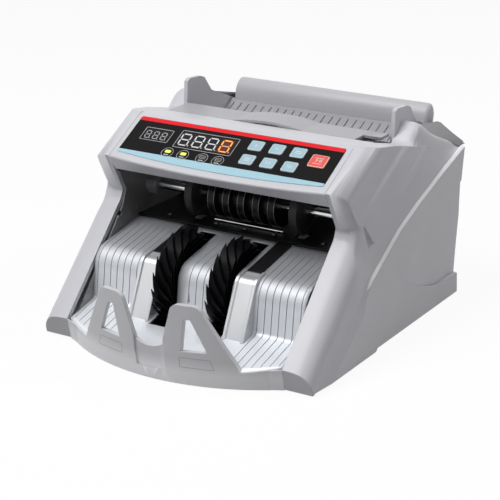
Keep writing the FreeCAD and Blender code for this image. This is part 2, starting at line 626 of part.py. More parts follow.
node("guide_rod", rod("guide_rod", "guide_rod", ("-3", "baffle_top + guide_rod"),
                      ("-drum_half - 1", "drum_half + 1")))
sensors = [box(f"sensor_{side}", (f"{sign}20 - 6", f"{sign}20 + 6"), ("8", "18"),
               ("baffle_low - 7", "baffle_low"))
           for side, sign in (("right", ""), ("left", "-"))]
node("note_sensors", group("note_sensors", sensors))


# Shafts, rollers and pulleys.
def grooved_drum():
    gap = "(2 * drum_half - disc_count * disc_width) / (disc_count - 1)"
    points = [("-drum_half", "shaft_radius")]
    for number in range(int(value("disc_count"))):
        left = f"-drum_half + {number} * (disc_width + {gap})"
        if number:
            points.append((left, "drum_core"))
        points.append((left, "drum_radius - 0.8"))
        points.append((f"{left} + 0.8", "drum_radius"))
        points.append((f"{left} + disc_width - 0.8", "drum_radius"))
        points.append((f"{left} + disc_width", "drum_radius - 0.8"))
        if number < int(value("disc_count")) - 1:
            points.append((f"{left} + disc_width", "drum_core"))
    points.append(("drum_half", "shaft_radius"))
    return turned("count_drum", points, ("drum_y", "drum_z"))


def tyre_wheel(name, middle, width, radius, hub, bore, centre):
    """A wheel with a rounded tread and a hub that is wider than its web."""
    left = f"{middle} - ({width}) / 2"
    right = f"{middle} + ({width}) / 2"
    points = [(left, bore), (left, hub), (f"{left} + 1", hub), (f"{left} + 1", f"{radius} - 5"),
              (left, f"{radius} - 4"), (left, f"{radius} - 0.9", (middle, radius)),
              (right, f"{radius} - 0.9"), (right, f"{radius} - 4"), (f"{right} - 1", f"{radius} - 5"),
              (f"{right} - 1", hub), (right, hub), (right, bore)]
    return turned(name, points, centre)


def pulley(name, radius, bore, centre):
    """A flanged belt pulley outside the right side plate."""
    left = "belt_left - flange"
    right = "belt_left + belt_width + flange"
    face = f"{radius} - belt_thick / 2 - belt_gap"
    rim = f"{radius} + 1.2"
    points = [(left, bore), (left, rim), ("belt_left - 0.4", rim), ("belt_left - 0.4", face),
              ("belt_left + belt_width + 0.4", face), ("belt_left + belt_width + 0.4", rim), (right, rim),
              (right, bore)]
    return turned(name, points, centre)


shaft_span = ("-plate_outer", "belt_left + belt_width + flange + 2")
drum_centre = ("drum_y", "drum_z")
feed_centre = ("feed_y", "feed_z")
stack_centre = ("stack_y", "stack_z")
node("drum_shaft", rod("drum_shaft", "shaft_radius", drum_centre, shaft_span))
node("count_drum", grooved_drum())
for side, sign in (("right", ""), ("left", "-")):
    node(f"transport_wheel_{side}", tyre_wheel(f"transport_wheel_{side}", f"{sign}wheel_x", "wheel_width",
                                               "wheel_radius", "wheel_hub", "shaft_radius", drum_centre))
node("drum_pulley", pulley("drum_pulley", "drum_pulley", "shaft_radius", drum_centre))
node("feed_shaft", rod("feed_shaft", "shaft_radius", feed_centre, shaft_span))
feed_rollers = [tyre_wheel(f"feed_roller_{side}", f"{sign}feed_x", "feed_width", "feed_radius", "wheel_hub",
                           "shaft_radius", feed_centre)
                for side, sign in (("right", ""), ("left", "-"))]
node("feed_rollers", group("feed_rollers", feed_rollers))
node("feed_pulley", pulley("feed_pulley", "feed_pulley", "shaft_radius", feed_centre))
pinch_span = ("-plate_outer", "plate_outer")
node("pinch_shaft", rod("pinch_shaft", "pinch_shaft", ("drum_y", "pinch_z"), pinch_span))
pinch_rollers = [tyre_wheel(f"pinch_roller_{side}", f"{sign}wheel_x", "wheel_width - 1", "pinch_radius",
                            "3.6", "pinch_shaft", ("drum_y", "pinch_z"))
                 for side, sign in (("right", ""), ("left", "-"))]
node("pinch_rollers", group("pinch_rollers", pinch_rollers))


def impeller(name, left):
    """A stacker wheel: thin blades that all sweep back from the hub, each carrying one note."""
    body = doc.addObject("PartDesign::Body", name)
    ring = body.newObject("Sketcher::SketchObject", name + "_hub_sketch")
    origin = next(part for part in body.Origin.OriginFeatures if part.Role == "YZ_Plane")
    ring.AttachmentSupport = [(origin, "")]
    ring.MapMode = "FlatFace"
    ring.setExpression("AttachmentOffset.Base.z", formula(left))
    for index, radius in enumerate(("stack_hub", "shaft_radius")):
        ring.addGeometry(Part.Circle(Vector(), Vector(0, 0, 1), value(radius)), False)
        ring.addConstraint(Sketcher.Constraint("Coincident", index, 3, -1, 1))
        number = ring.addConstraint(Sketcher.Constraint("Radius", index, value(radius)))
        ring.setExpression(f"Constraints[{number}]", formula(radius))
    lifted(body, ring, name + "_hub", "blade_width")
    root = "stack_hub - 1"
    middle = "0.55 * (stack_hub + blade_reach)"
    bend = "blade_sweep * 0.36 * 1 deg"
    tip = "blade_sweep * 1 deg"

    def spot(radius, angle, step):
        return (f"({radius}) * cos({angle}) + ({step}) * sin({angle})",
                f"({radius}) * sin({angle}) - ({step}) * cos({angle})")
    half = "blade_thick / 2"
    tip_half = "blade_thick / 3"
    points = [spot(root, "0 deg", half) + (spot(middle, bend, half),), spot("blade_reach", tip, tip_half),
              spot("blade_reach", tip, f"-{tip_half}") + (spot(middle, bend, f"-{half}"),),
              spot(root, "0 deg", f"-{half}")]
    blade = lifted(body, draw(body, name + "_blade_sketch", "YZ", left, points), name + "_blade",
                   "blade_width")
    blades = body.newObject("PartDesign::PolarPattern", name + "_blades")
    blades.Originals = [blade]
    blades.Axis = (next(part for part in body.Origin.OriginFeatures if part.Role == "X_Axis"), [""])
    blades.Angle = 360
    blades.setExpression("Occurrences", formula("blade_count"))
    body.Tip = blades
    doc.recompute()
    return bind(body, Placement__Base__y="stack_y", Placement__Base__z="stack_z")


node("stacker_shaft", rod("stacker_shaft", "shaft_radius", stack_centre, shaft_span))
node("stacker_wheel_right", impeller("stacker_wheel_right", "slot_in + 1"))
node("stacker_wheel_left", impeller("stacker_wheel_left", "-slot_out + 1"))
node("stacker_pulley", pulley("stacker_pulley", "stack_pulley", "shaft_radius", stack_centre))


def bush(name, radius, centre, inner):
    """A plain bearing in a side plate, standing into the machine as far as inner."""
    points = [(inner, "shaft_radius + running_gap"), (inner, f"{radius} - 1.5"), (f"{inner} + 1.5", radius),
              ("plate_outer", radius), ("plate_outer", "shaft_radius + running_gap")]
    return turned(name, points, centre)


bushes = []
for kind, radius, centre, inner in (("drum", "bush_radius", drum_centre, "bush_reach"),
                                    ("feed", "small_bush", feed_centre, "plate_inner - 3"),
                                    ("stacker", "small_bush", stack_centre, "plate_inner - 3")):
    right = bush(f"{kind}_bush_right", radius, centre, inner)
    bushes += [right, mirrored(f"{kind}_bush_left", right)]
node("shaft_bushes", group("shaft_bushes", bushes))


# Motor on the right side plate, and one belt round motor, feed and stacker, its back against the drum.
motor_centre = ("motor_y", "motor_z")
can = rod("motor_can", "motor_radius", motor_centre, ("motor_left", "plate_inner - 2"))
nose = rod("motor_nose", "motor_shaft + 3.8", motor_centre, ("plate_inner - 2.5", "plate_outer"))
seat = box("motor_seat", ("plate_inner - 2", "plate_inner"), ("motor_y - 26", "motor_y + 26"),
           ("motor_z - 14", "motor_z + 14"))
bore = rod("motor_bore", "motor_shaft + running_gap", motor_centre, ("plate_inner - 30", "plate_outer + 1"))
node("main_motor", cut("main_motor", fuse("motor_body", can, nose, seat), bore))
rotor = rod("rotor_shaft", "motor_shaft", motor_centre,
            ("plate_inner - 28", "belt_left + belt_width + flange + 2"))
node("motor_pulley", fuse("motor_pulley", rotor,
                          pulley("motor_wheel", "motor_pulley", "motor_shaft", motor_centre)))


def belt_loop(offset):
    """The closed line of the belt, offset outwards, through tangent runs and arcs round the pulleys."""
    stops = [("motor", 1), ("feed", 1), ("drum", -1), ("stack", 1)]
    rounds = []
    for kind, sense in stops:
        centre = Vector(0, value(kind + "_y"), value(kind + "_z"))
        rounds.append((centre, value(kind + "_pulley") + sense * offset, sense))
    runs = []
    for (a, radius_a, sense_a), (b, radius_b, sense_b) in zip(rounds, rounds[1:] + rounds[:1]):
        heading = math.atan2(b.z - a.z, b.y - a.y)
        swing = math.asin((sense_b * radius_b - sense_a * radius_a) / a.distanceToPoint(b))
        side = heading - swing - math.pi / 2
        out = Vector(0, math.cos(side), math.sin(side))
        runs.append((a + out * (sense_a * radius_a), b + out * (sense_b * radius_b)))
    edges = []
    for index, (start, end) in enumerate(runs):
        edges.append(Part.makeLine(start, end))
        centre, radius, sense = rounds[(index + 1) % len(rounds)]
        leaving = runs[(index + 1) % len(runs)][0]
        middle = (end - centre) + (leaving - centre)
        middle.normalize()
        edges.append(Part.Arc(end, centre + middle * radius, leaving).toShape())
    return Part.Wire(edges)


belt_half = value("belt_thick") / 2
belt_face = Part.Face(belt_loop(belt_half)).cut(Part.Face(belt_loop(-belt_half)))
belt = shaped("drive_belt", belt_face.Faces[0].extrude(Vector(value("belt_width"), 0, 0)))
belt.Placement.Base = Vector(value("belt_left"), 0, 0)
node("drive_belt", belt)


# Control head: a hollow shell whose front edge bows forward, with an opening behind the panel.
def rounded_run(lip, edge, ridge, back, others):
    """The head's outline as runs, with its front edge and its ridge rounded."""
    front = rounded_corner(lip, edge, ridge, value("lip_round"))
    crest = rounded_corner(edge, ridge, back, value("ridge_round"))
    rest = [back] + others + [lip]
    runs = [[lip, front[0]], front, [front[2], crest[0]], crest, [crest[2], back]]
    return runs + [[a, b] for a, b in zip(rest, rest[1:])]


def head_section(x):
    bow = value("lip_bow") * (1 - (x / value("head_half")) ** 2)
    tilt = math.radians(value("panel_tilt"))
    skin = value("head_skin")
    edge = (value("lip_edge_y") - bow * math.cos(tilt), value("lip_edge_z") - bow * math.sin(tilt))
    low = (value("lip_low_y"), value("lip_low_z"))
    ridge = (value("ridge_y"), value("ridge_z"))
    back = (value("ledge_front_y"), value("ledge_front_z"))
    inside = [(back[0], back[1] - skin), (ridge[0] + 0.6, ridge[1] - skin * 1.5),
              (edge[0] + skin * 2.2, edge[1] - skin * 0.4), (low[0] + skin, low[1])]
    return side_wire(rounded_run(low, edge, ridge, back, inside), x)


half = value("head_half")
sections = [head_section(half * share / 5) for share in range(-5, 6)]
head = shaped("head_shell", Part.makeLoft(sections, True, True))
board_room = on_panel(prism("board_room", "XY",
                            rectangle("-opening_half", "opening_half", "lamp_v - lamp_radius - 0.3",
                                      "board_high + 1"), "-6", "6"))
node("control_head", cut("control_head", head, board_room))


def key_hole(name, x, v, width, height, gap, low, high, round_radius):
    left = f"{x} - ({width}) / 2 - ({gap})"
    right = f"{x} + ({width}) / 2 + ({gap})"
    bottom = f"{v} - ({height}) / 2 - ({gap})"
    top = f"{v} + ({height}) / 2 + ({gap})"
    spots = rectangle(left, right, bottom, top)
    return on_panel(prism(name, "XY", spots, low, high, [(round_radius, spots)]))


keys = {}
for row, v in enumerate(("key_row_high", "key_row_low")):
    for column in range(3):
        keys[f"key_{row * 3 + column + 1}"] = (f"key_column + {column} * key_pitch", v, "key_width",
                                               "key_height")
keys["start_key"] = ("start_x", "start_v", "start_width", "start_height")
openings = []
for name, (x, v, width, height) in keys.items():
    openings.append(key_hole(name + "_hole", x, v, width, height, "key_gap", "-4", "4",
                             "key_round + key_gap"))
    cap = key_hole(name + "_cap", x, v, width, height, "0", "key_deep", "key_proud", "key_round")
    rim = key_hole(name + "_rim", x, v, width, height, "key_rim", "key_deep", "rim_top", "key_round")
    node(name, fuse(name, cap, rim))
displays = {"batch_display": rectangle("batch_left", "batch_right", "batch_low", "batch_high"),
            "count_display": rectangle("count_left", "count_right", "count_low", "count_high")}
for name, frame in displays.items():
    spots = list(zip(("0.2", "-0.2", "-0.2", "0.2"), ("0.2", "0.2", "-0.2", "-0.2"), frame))
    module = [(f"{u} + {du}", f"{v} + {dv}") for du, dv, (u, v) in spots]
    openings.append(on_panel(prism(name + "_window", "XY", frame, "-4", "4")))
    node(name, on_panel(prism(name, "XY", module, "board_deep + board_thick",
                              "overlay_thick - window_drop")))


def lamp(name, x, radius, low, high):
    disc = [(f"{x} - ({radius})", "lamp_v", (x, f"lamp_v + ({radius})")),
            (f"{x} + ({radius})", "lamp_v", (x, f"lamp_v - ({radius})"))]
    return on_panel(prism(name, "XY", disc, low, high))


lamps = []
for number, x in enumerate(("-50.5", "-36.4", "-18.3", "-3.8")):
    openings.append(lamp(f"lamp_hole_{number}", x, "lamp_radius", "-4", "4"))
    lamps.append(lamp(f"lamp_{number}", x, "lamp_radius - 0.2", "board_deep + board_thick",
                      "overlay_thick - window_drop"))
node("indicator_lamps", group("indicator_lamps", lamps))
film = [("-overlay_half", "overlay_low", ("0", "overlay_bow")), ("overlay_half", "overlay_low"),
        ("overlay_half", "overlay_top"), ("-overlay_half", "overlay_top")]
film_body = on_panel(prism("overlay_film", "XY", film, "0", "overlay_thick", [("key_round", film[2:])]))
node("panel_overlay", cut("panel_overlay", film_body, *openings))
board = rectangle("-board_half", "board_half", "board_low", "board_high")
board_parts = [on_panel(prism("board_plate", "XY", board, "board_deep", "board_deep + board_thick"))]
for number, (x, v) in enumerate((("-89.4", "-12"), ("89.4", "-12"), ("-89.4", "12"), ("89.4", "12"))):
    disc = [(f"{x} - board_post", v, (x, f"{v} + board_post")),
            (f"{x} + board_post", v, (x, f"{v} - board_post"))]
    board_parts.append(on_panel(prism(f"board_post_{number}", "XY", disc, "board_deep", "skin_under")))
node("control_board", fuse("control_board", *board_parts))


# Hopper: the lifting cover with its finger arch, front wall, ribbed tray and rear rest.
def hopper_cover():
    front = [("-cover_half", "cover_low"), ("-arch_half", "cover_low", ("0", "cover_low + arch_rise")),
             ("arch_half", "cover_low"), ("cover_half", "cover_low"), ("cover_half", "cover_top"),
             ("arch_half + 6", "cover_top", ("0", "cover_top + arch_rise")),
             ("-arch_half - 6", "cover_top"), ("-cover_half", "cover_top")]
    plate = prism("cover_plate", "XZ", front, "cover_front_y", "cover_rear_y")
    notch = box("cover_notch", ("screw_x - 6.5", "cover_half + 1"), ("cover_front_y - 1", "screw_y + 6.5"),
                ("150", "165"))
    lugs = []
    holes = []
    for side, sign in (("right", ""), ("left", "-")):
        span = (f"{sign}hinge_x - 4", f"{sign}hinge_x + 4")
        lugs.append(box(f"cover_lug_{side}", span, ("hinge_y - 2.8", "hinge_y + 2.8"),
                        ("hinge_z - 2.8", "cover_low + 0.2")))
        holes.append(rod(f"cover_lug_hole_{side}", "hinge_pin + running_gap", ("hinge_y", "hinge_z"),
                         (f"{sign}hinge_x - 6", f"{sign}hinge_x + 6")))
    return cut("hopper_cover", fuse("cover_body", plate, *lugs), notch, *holes)


node("hopper_cover", hopper_cover())


def hopper_front():
    """The wall in front of the note stack, with the cover's hinge ears and the thickness screw's bracket."""
    depth = ("front_wall_y", "front_wall_y + sheet")
    pieces = [box("front_wall_plate", ("-front_half", "front_half"), depth,
                  ("front_wall_low", "front_wall_top"))]
    holes = []
    for side, sign in (("right", ""), ("left", "-")):
        foot_span = ("60", "plate_inner") if sign == "" else ("-plate_inner", "-60")
        pieces.append(box(f"front_foot_{side}", foot_span, depth,
                          ("front_wall_low - 5", "front_wall_low + 1")))
        for end, shift in (("a", "-7.3"), ("b", "4.3")):
            span = (f"{sign}hinge_x + ({shift})", f"{sign}hinge_x + ({shift}) + 3")
            pieces.append(rod(f"ear_{side}_{end}", "knuckle", ("hinge_y", "hinge_z"), span))
            pieces.append(box(f"ear_neck_{side}_{end}", span, ("hinge_y - knuckle", "hinge_y + 1"),
                              ("hinge_z - 6", "hinge_z")))
            pieces.append(box(f"ear_stem_{side}_{end}", span, ("hinge_y - knuckle", "front_wall_y + 1"),
                              ("hinge_z - 6", "hinge_z - 2.6")))
        holes.append(rod(f"ear_hole_{side}", "hinge_pin", ("hinge_y", "hinge_z"),
                         (f"{sign}hinge_x - 9", f"{sign}hinge_x + 9")))
    pieces.append(box("screw_bracket", ("screw_x - 9", "front_half"), ("screw_y - 8", "front_wall_y + 1"),
                      ("138", "141")))
    holes.append(post("screw_hole", "2.5 + running_gap", ("screw_x", "screw_y"), ("130", "150")))
    return cut("hopper_front", fuse("hopper_front_body", *pieces), *holes)


node("hopper_front", hopper_front())
pins = [rod(f"hinge_pin_{side}", "hinge_pin", ("hinge_y", "hinge_z"),
            (f"{sign}hinge_x - 7.3", f"{sign}hinge_x + 7.3"))
        for side, sign in (("right", ""), ("left", "-"))]
node("hinge_pins", group("hinge_pins", pins))
knob = post("screw_knob", "screw_radius", ("screw_x", "screw_y"), ("screw_top - 12.2", "screw_top"))
stem = post("screw_stem", "2.5", ("screw_x", "screw_y"), ("132", "screw_top - 8"))
slit = box("screw_slit", ("screw_x - 6", "screw_x + 6"), ("screw_y - 0.6", "screw_y + 0.6"),
           ("screw_top - 1.5", "screw_top + 1"))
node("thickness_screw", cut("thickness_screw", fuse("screw_body", knob, stem), slit))
node("retard_pad", box("retard_pad", ("-38", "38"), ("front_wall_y - 4", "front_wall_y + 4"),
                       ("feed_z + feed_radius + 0.8", "front_wall_low")))


def hopper_tray():
    run = "(tray_high_y - tray_low_y)"
    rise = "(tray_high_z - tray_low_z)"
    body = doc.addObject("PartDesign::Body", "hopper_tray_body")
    points = [("tray_low_y", "tray_low_z"), ("tray_high_y", "tray_high_z"),
              ("rear_face - rear_skin", "tray_high_z"), ("rear_face - rear_skin", "tray_high_z - sheet"),
              ("tray_high_y + 0.5", "tray_high_z - sheet"), ("tray_low_y + 1", "tray_low_z - sheet")]
    lifted(body, draw(body, "tray_sketch", "YZ", "-tray_half_x", points), "tray_pad", "2 * tray_half_x")

    def on_tray(share, lift):
        return (f"tray_low_y + {share} * {run} - {lift} * 0.44",
                f"tray_low_z + {share} * {rise} + {lift} * 0.9")
    profile = [on_tray("0.5", "-0.5"), on_tray("0.97", "-0.5"), on_tray("0.92", "rib_height"),
               on_tray("0.52", "rib_height")]
    rib = lifted(body, draw(body, "rib_sketch", "YZ", "-tray_half_x + 4", profile), "rib_pad", "rib_width")
    ribs = body.newObject("PartDesign::LinearPattern", "tray_ribs")
    ribs.Originals = [rib]
    ribs.Direction = (next(part for part in body.Origin.OriginFeatures if part.Role == "X_Axis"), [""])
    ribs.setExpression("Length", formula("2 * tray_half_x - 8 - rib_width"))
    ribs.setExpression("Occurrences", formula("rib_count"))
    body.Tip = ribs
    doc.recompute()
    slots = [box(f"feed_slot_{side}", (f"{sign}feed_x - feed_width / 2 - 1.5",
                                       f"{sign}feed_x + feed_width / 2 + 1.5"),
                 ("50", "feed_y + 17"), ("100", "140")) for side, sign in (("right", ""), ("left", "-"))]
    return cut("hopper_tray", body, *slots)


node("hopper_tray", hopper_tray())
rest = [("124.6", "tray_high_z"), ("125.2", "150", ("126.2", "155")),
        ("129.5", "160.6", ("133.6", "163.4")), ("138.6", "162"), ("141.4", "156.6"), ("139.6", "149.4"),
        ("136.4", "tray_high_z")]
node("note_rest", prism("note_rest", "YZ", rest, "-rest_half", "rest_half"))


# Rear cover with its vents, mains inlet, rocker switch and fuse holder.
def rear_cover():
    plate = box("rear_plate", ("-tray_half", "tray_half"), ("rear_face - rear_skin", "rear_face"),
                ("tray_top", "rear_top"))
    span = ("rear_face - rear_skin - 1", "rear_face + 1")
    tools = [box("inlet_cut", ("inlet_x - inlet_half_x - 2", "inlet_x + inlet_half_x + 2"), span,
                 ("inlet_z - inlet_half_z - 2", "inlet_z + inlet_half_z + 2")),
             box("switch_cut", ("switch_x - rocker_half_x - 1.5", "switch_x + rocker_half_x + 1.5"), span,
                 ("switch_z - rocker_half_z - 2.5", "switch_z + rocker_half_z + 2.5")),
             box("fuse_cut", ("fuse_x - 5", "fuse_x + 5"), span, ("inlet_z - 5", "inlet_z + 5"))]
    for number in range(int(value("vent_count"))):
        left = f"-vent_pitch * (vent_count - 1) / 2 + {number} * vent_pitch - vent_width / 2"
        tools.append(box(f"vent_{number}", (left, f"{left} + vent_width"), span, ("66", "104")))
    wing = prism("rear_wing", "XZ", [("tray_half - 1", "rear_wing_low"), ("rear_wing_x", "rear_wing_low"),
                                     ("cheek_inner + 1", "rear_top - 3"),
                                     ("tray_half - 1", "rear_top - 2.6")], "rear_face - rear_skin",
                 "rear_face")
    return cut("rear_cover", fuse("rear_shell", plate, wing, mirrored("rear_wing_left", wing)), *tools)


node("rear_cover", rear_cover())
flange = box("inlet_flange", ("inlet_x - inlet_half_x - 4", "inlet_x + inlet_half_x + 4"),
             ("rear_face", "bezel_face"), ("inlet_z - inlet_half_z - 4", "inlet_z + inlet_half_z + 4"))
shroud = box("inlet_shroud", ("inlet_x - inlet_half_x - 1.8", "inlet_x + inlet_half_x + 1.8"),
             ("inlet_deep - 2", "rear_face"),
             ("inlet_z - inlet_half_z - 1.8", "inlet_z + inlet_half_z + 1.8"))
socket = box("inlet_socket", ("inlet_x - inlet_half_x", "inlet_x + inlet_half_x"),
             ("inlet_deep", "bezel_face + 1"), ("inlet_z - inlet_half_z", "inlet_z + inlet_half_z"))
inlet = cut("inlet_moulding", fuse("inlet_body", flange, shroud), socket)
prongs = [box(f"prong_{number}", (f"inlet_x + ({x}) - 1", f"inlet_x + ({x}) + 1"),
              ("inlet_deep", "bezel_face - 3"), (f"inlet_z + ({z}) - 2", f"inlet_z + ({z}) + 2"))
          for number, (x, z) in enumerate((("-7", "-2"), ("0", "2"), ("7", "-2")))]
node("power_inlet", group("power_inlet", [inlet] + prongs))
bezel = box("switch_bezel_block", ("switch_x - rocker_half_x - 3", "switch_x + rocker_half_x + 3"),
            ("rear_face", "bezel_face"), ("switch_z - rocker_half_z - 4.5",
                                          "switch_z + rocker_half_z + 4.5"))
bezel_hole = box("switch_bezel_hole", ("switch_x - rocker_half_x - 0.4", "switch_x + rocker_half_x + 0.4"),
                 ("rear_face - 12", "bezel_face + 1"),
                 ("switch_z - rocker_half_z - 1.2", "switch_z + rocker_half_z + 1.2"))
housing = box("switch_housing", ("switch_x - rocker_half_x - 1.4", "switch_x + rocker_half_x + 1.4"),
              ("rear_face - 14", "rear_face"),
              ("switch_z - rocker_half_z - 2.4", "switch_z + rocker_half_z + 2.4"))
pin_hole = rod("switch_pin_hole", "rocker_pin + running_gap", ("bezel_face - 3", "switch_z"),
               ("switch_x - rocker_half_x - 2", "switch_x + rocker_half_x + 2"))
node("switch_bezel", cut("switch_bezel", fuse("switch_body", bezel, housing), bezel_hole, pin_hole))
rocker_side = [("-4", "-rocker_half_z + 2.5"), ("6.1", "-rocker_half_z"), ("4.6", "0"),
               ("6.1", "rocker_half_z"), ("-4", "rocker_half_z - 2.5")]
pivot = rod("rocker_pivot", "rocker_pin", ("0", "0"), ("-rocker_half_x - 1.2", "rocker_half_x + 1.2"))
rocker = fuse("rocker_switch", prism("rocker_cap", "YZ", rocker_side, "-rocker_half_x", "rocker_half_x"),
              pivot)
rocker.Placement.Rotation = FreeCAD.Rotation(Vector(1, 0, 0), value("rocker_tilt"))
bind(rocker, Placement__Base__x="switch_x", Placement__Base__y="bezel_face - 3",
     Placement__Base__z="switch_z")
node("rocker_switch", rocker)
node("fuse_holder", box("fuse_holder", ("fuse_x - 5", "fuse_x + 5"), ("rear_face - 20", "bezel_face"),
                        ("inlet_z - 5", "inlet_z + 5")))
rear_screws = []
for number, (x, z) in enumerate((("-90", "14"), ("90", "14"), ("-90", "112"), ("90", "112"))):
    rear_screws.append(bolt(f"rear_screw_{number}", "2.6", (x, z), ("rear_face", "rear_face + 1.4")))
node("cover_screws", group("cover_screws", baffle_screws + rear_screws))


# Power supply and main board on the base.
coil = box("transformer_coil", ("-82", "-40"), ("84", "112"), ("10", "38"))
core = box("transformer_core", ("-76", "-46"), ("76", "120"), ("tray_top", "44"))
node("transformer", fuse("transformer", coil, core))
board_plate = box("main_board_plate", ("-28", "28"), ("62", "134"), ("13", "14.6"))
legs = [post(f"board_leg_{number}", "3", place, ("tray_top", "13"))
        for number, place in enumerate((("-24", "66"), ("24", "66"), ("-24", "130"), ("24", "130")))]
chips = [box(f"board_chip_{number}", (f"{x} - 7", f"{x} + 7"), (f"{y} - 5", f"{y} + 5"), ("14.6", "18"))
         for number, (x, y) in enumerate((("-14", "82"), ("10", "80"), ("-2", "104")))]
node("main_board", fuse("main_board", board_plate, *legs, *chips))

doc.recompute()
failed = [thing.Name for thing in doc.Objects if {"Invalid", "Error"} & set(thing.State)]
failed += [name for name, thing in nodes.items() if thing.Shape.isNull() or not thing.Shape.isValid()]
if failed:
    raise SystemExit("failed: " + ", ".join(failed))
os.makedirs("parts", exist_ok=True)
whole = FreeCAD.BoundBox()
for name, thing in nodes.items():
    thing.Shape.exportStep(f"parts/{name}.step")
    whole.add(thing.Shape.BoundBox)
print(len(nodes), "nodes", whole)
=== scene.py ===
from contextlib import contextmanager
import json
import math

import bmesh
import bpy
from mathutils import Matrix, Vector


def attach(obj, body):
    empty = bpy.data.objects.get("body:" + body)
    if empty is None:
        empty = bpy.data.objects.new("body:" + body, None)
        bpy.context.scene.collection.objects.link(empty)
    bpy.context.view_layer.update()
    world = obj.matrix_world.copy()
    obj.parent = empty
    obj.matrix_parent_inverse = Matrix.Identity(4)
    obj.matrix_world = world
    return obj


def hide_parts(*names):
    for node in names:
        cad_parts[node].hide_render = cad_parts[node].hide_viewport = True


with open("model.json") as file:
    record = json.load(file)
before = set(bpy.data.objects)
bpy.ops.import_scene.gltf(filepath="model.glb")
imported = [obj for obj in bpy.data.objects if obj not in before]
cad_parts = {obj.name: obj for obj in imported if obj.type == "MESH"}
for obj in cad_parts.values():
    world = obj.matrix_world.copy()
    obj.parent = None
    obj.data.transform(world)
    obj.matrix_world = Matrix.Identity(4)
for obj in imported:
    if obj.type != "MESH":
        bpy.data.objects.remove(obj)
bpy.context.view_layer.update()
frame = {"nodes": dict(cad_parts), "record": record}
cadNodes = frame["nodes"]
record = frame["record"]
bodyOf = {node: body for body, members in record["behaviour"]["bodies"].items() for node in members}
slotOf = {part["node"]: part["material_slot"] for part in record["subparts"]}
mm = 0.001  # sizes below are in millimetres unless a note says otherwise


# one socket of a node tree, so that sums on it read as sums
class Wire:
    def __init__(self, tree, socket):
        self.tree = tree
        self.socket = socket

    def sum(self, operation, first, second):
        return self.tree.node("ShaderNodeMath", {"operation": operation}, {0: first, 1: second})

    def __add__(self, other):
        return self.sum("ADD", self, other)

    def __radd__(self, other):
        return self.sum("ADD", other, self)

    def __sub__(self, other):
        return self.sum("SUBTRACT", self, other)

    def __rsub__(self, other):
        return self.sum("SUBTRACT", other, self)

    def __mul__(self, other):
        return self.sum("MULTIPLY", self, other)

    def __rmul__(self, other):
        return self.sum("MULTIPLY", other, self)

    def __truediv__(self, other):
        return self.sum("DIVIDE", self, other)

    def __rtruediv__(self, other):
        return self.sum("DIVIDE", other, self)

    def __pow__(self, other):
        return self.sum("POWER", self, other)

    def __rpow__(self, other):
        return self.sum("POWER", other, self)


# a tree that is built node by node
class Tree:
    def __init__(self, tree):
        self.tree = tree

    def node(self, kind, settings, sockets, output=0):
        made = self.tree.nodes.new(kind)
        for name, setting in settings.items():
            setattr(made, name, setting)
        for name, given in sockets.items():
            if isinstance(given, Wire):
                self.tree.links.new(given.socket, made.inputs[name])
            else:
                made.inputs[name].default_value = given
        return Wire(self, made.outputs[output])

    def vector(self, x, y, z):
        return self.node("ShaderNodeCombineXYZ", {}, {0: x, 1: y, 2: z})

    def end(self, kind, wire):
        self.tree.links.new(wire.socket, self.tree.nodes.new(kind).inputs[0])


class Finish(Tree):  # of a material or of the world
    def __init__(self, owner):
        owner.use_nodes = True
        owner.node_tree.nodes.clear()
        super().__init__(owner.node_tree)
        self.owner = owner

    def spot(self):  # a place on the piece, in metres
        return self.node("ShaderNodeTexCoord", {}, {}, "Object")

    def noise(self, size, detail):  # size of a blotch in mm
        sockets = {"Vector": self.spot(), "Scale": 1 / (size * mm), "Detail": detail}
        return self.node("ShaderNodeTexNoise", {}, sockets)

    def tint(self, amount, first, second):
        return self.node("ShaderNodeMix", {"data_type": "RGBA"}, {0: amount, 6: first, 7: second}, 2)

    def softEdge(self, radius):
        return self.node("ShaderNodeBevel", {"samples": 6}, {"Radius": radius * mm})

    def bump(self, height, depth, edge):
        sockets = {"Height": height, "Strength": 1.0, "Distance": depth * mm, "Normal": self.softEdge(edge)}
        return self.node("ShaderNodeBump", {}, sockets)

    def coat(self, sockets):
        self.end("ShaderNodeOutputMaterial", self.node("ShaderNodeBsdfPrincipled", {}, sockets))
        return self.owner


def tone(first, second, rough, depth, edge, **more):
    return dict(first=first, second=second, rough=rough, depth=depth, edge=edge, **more)


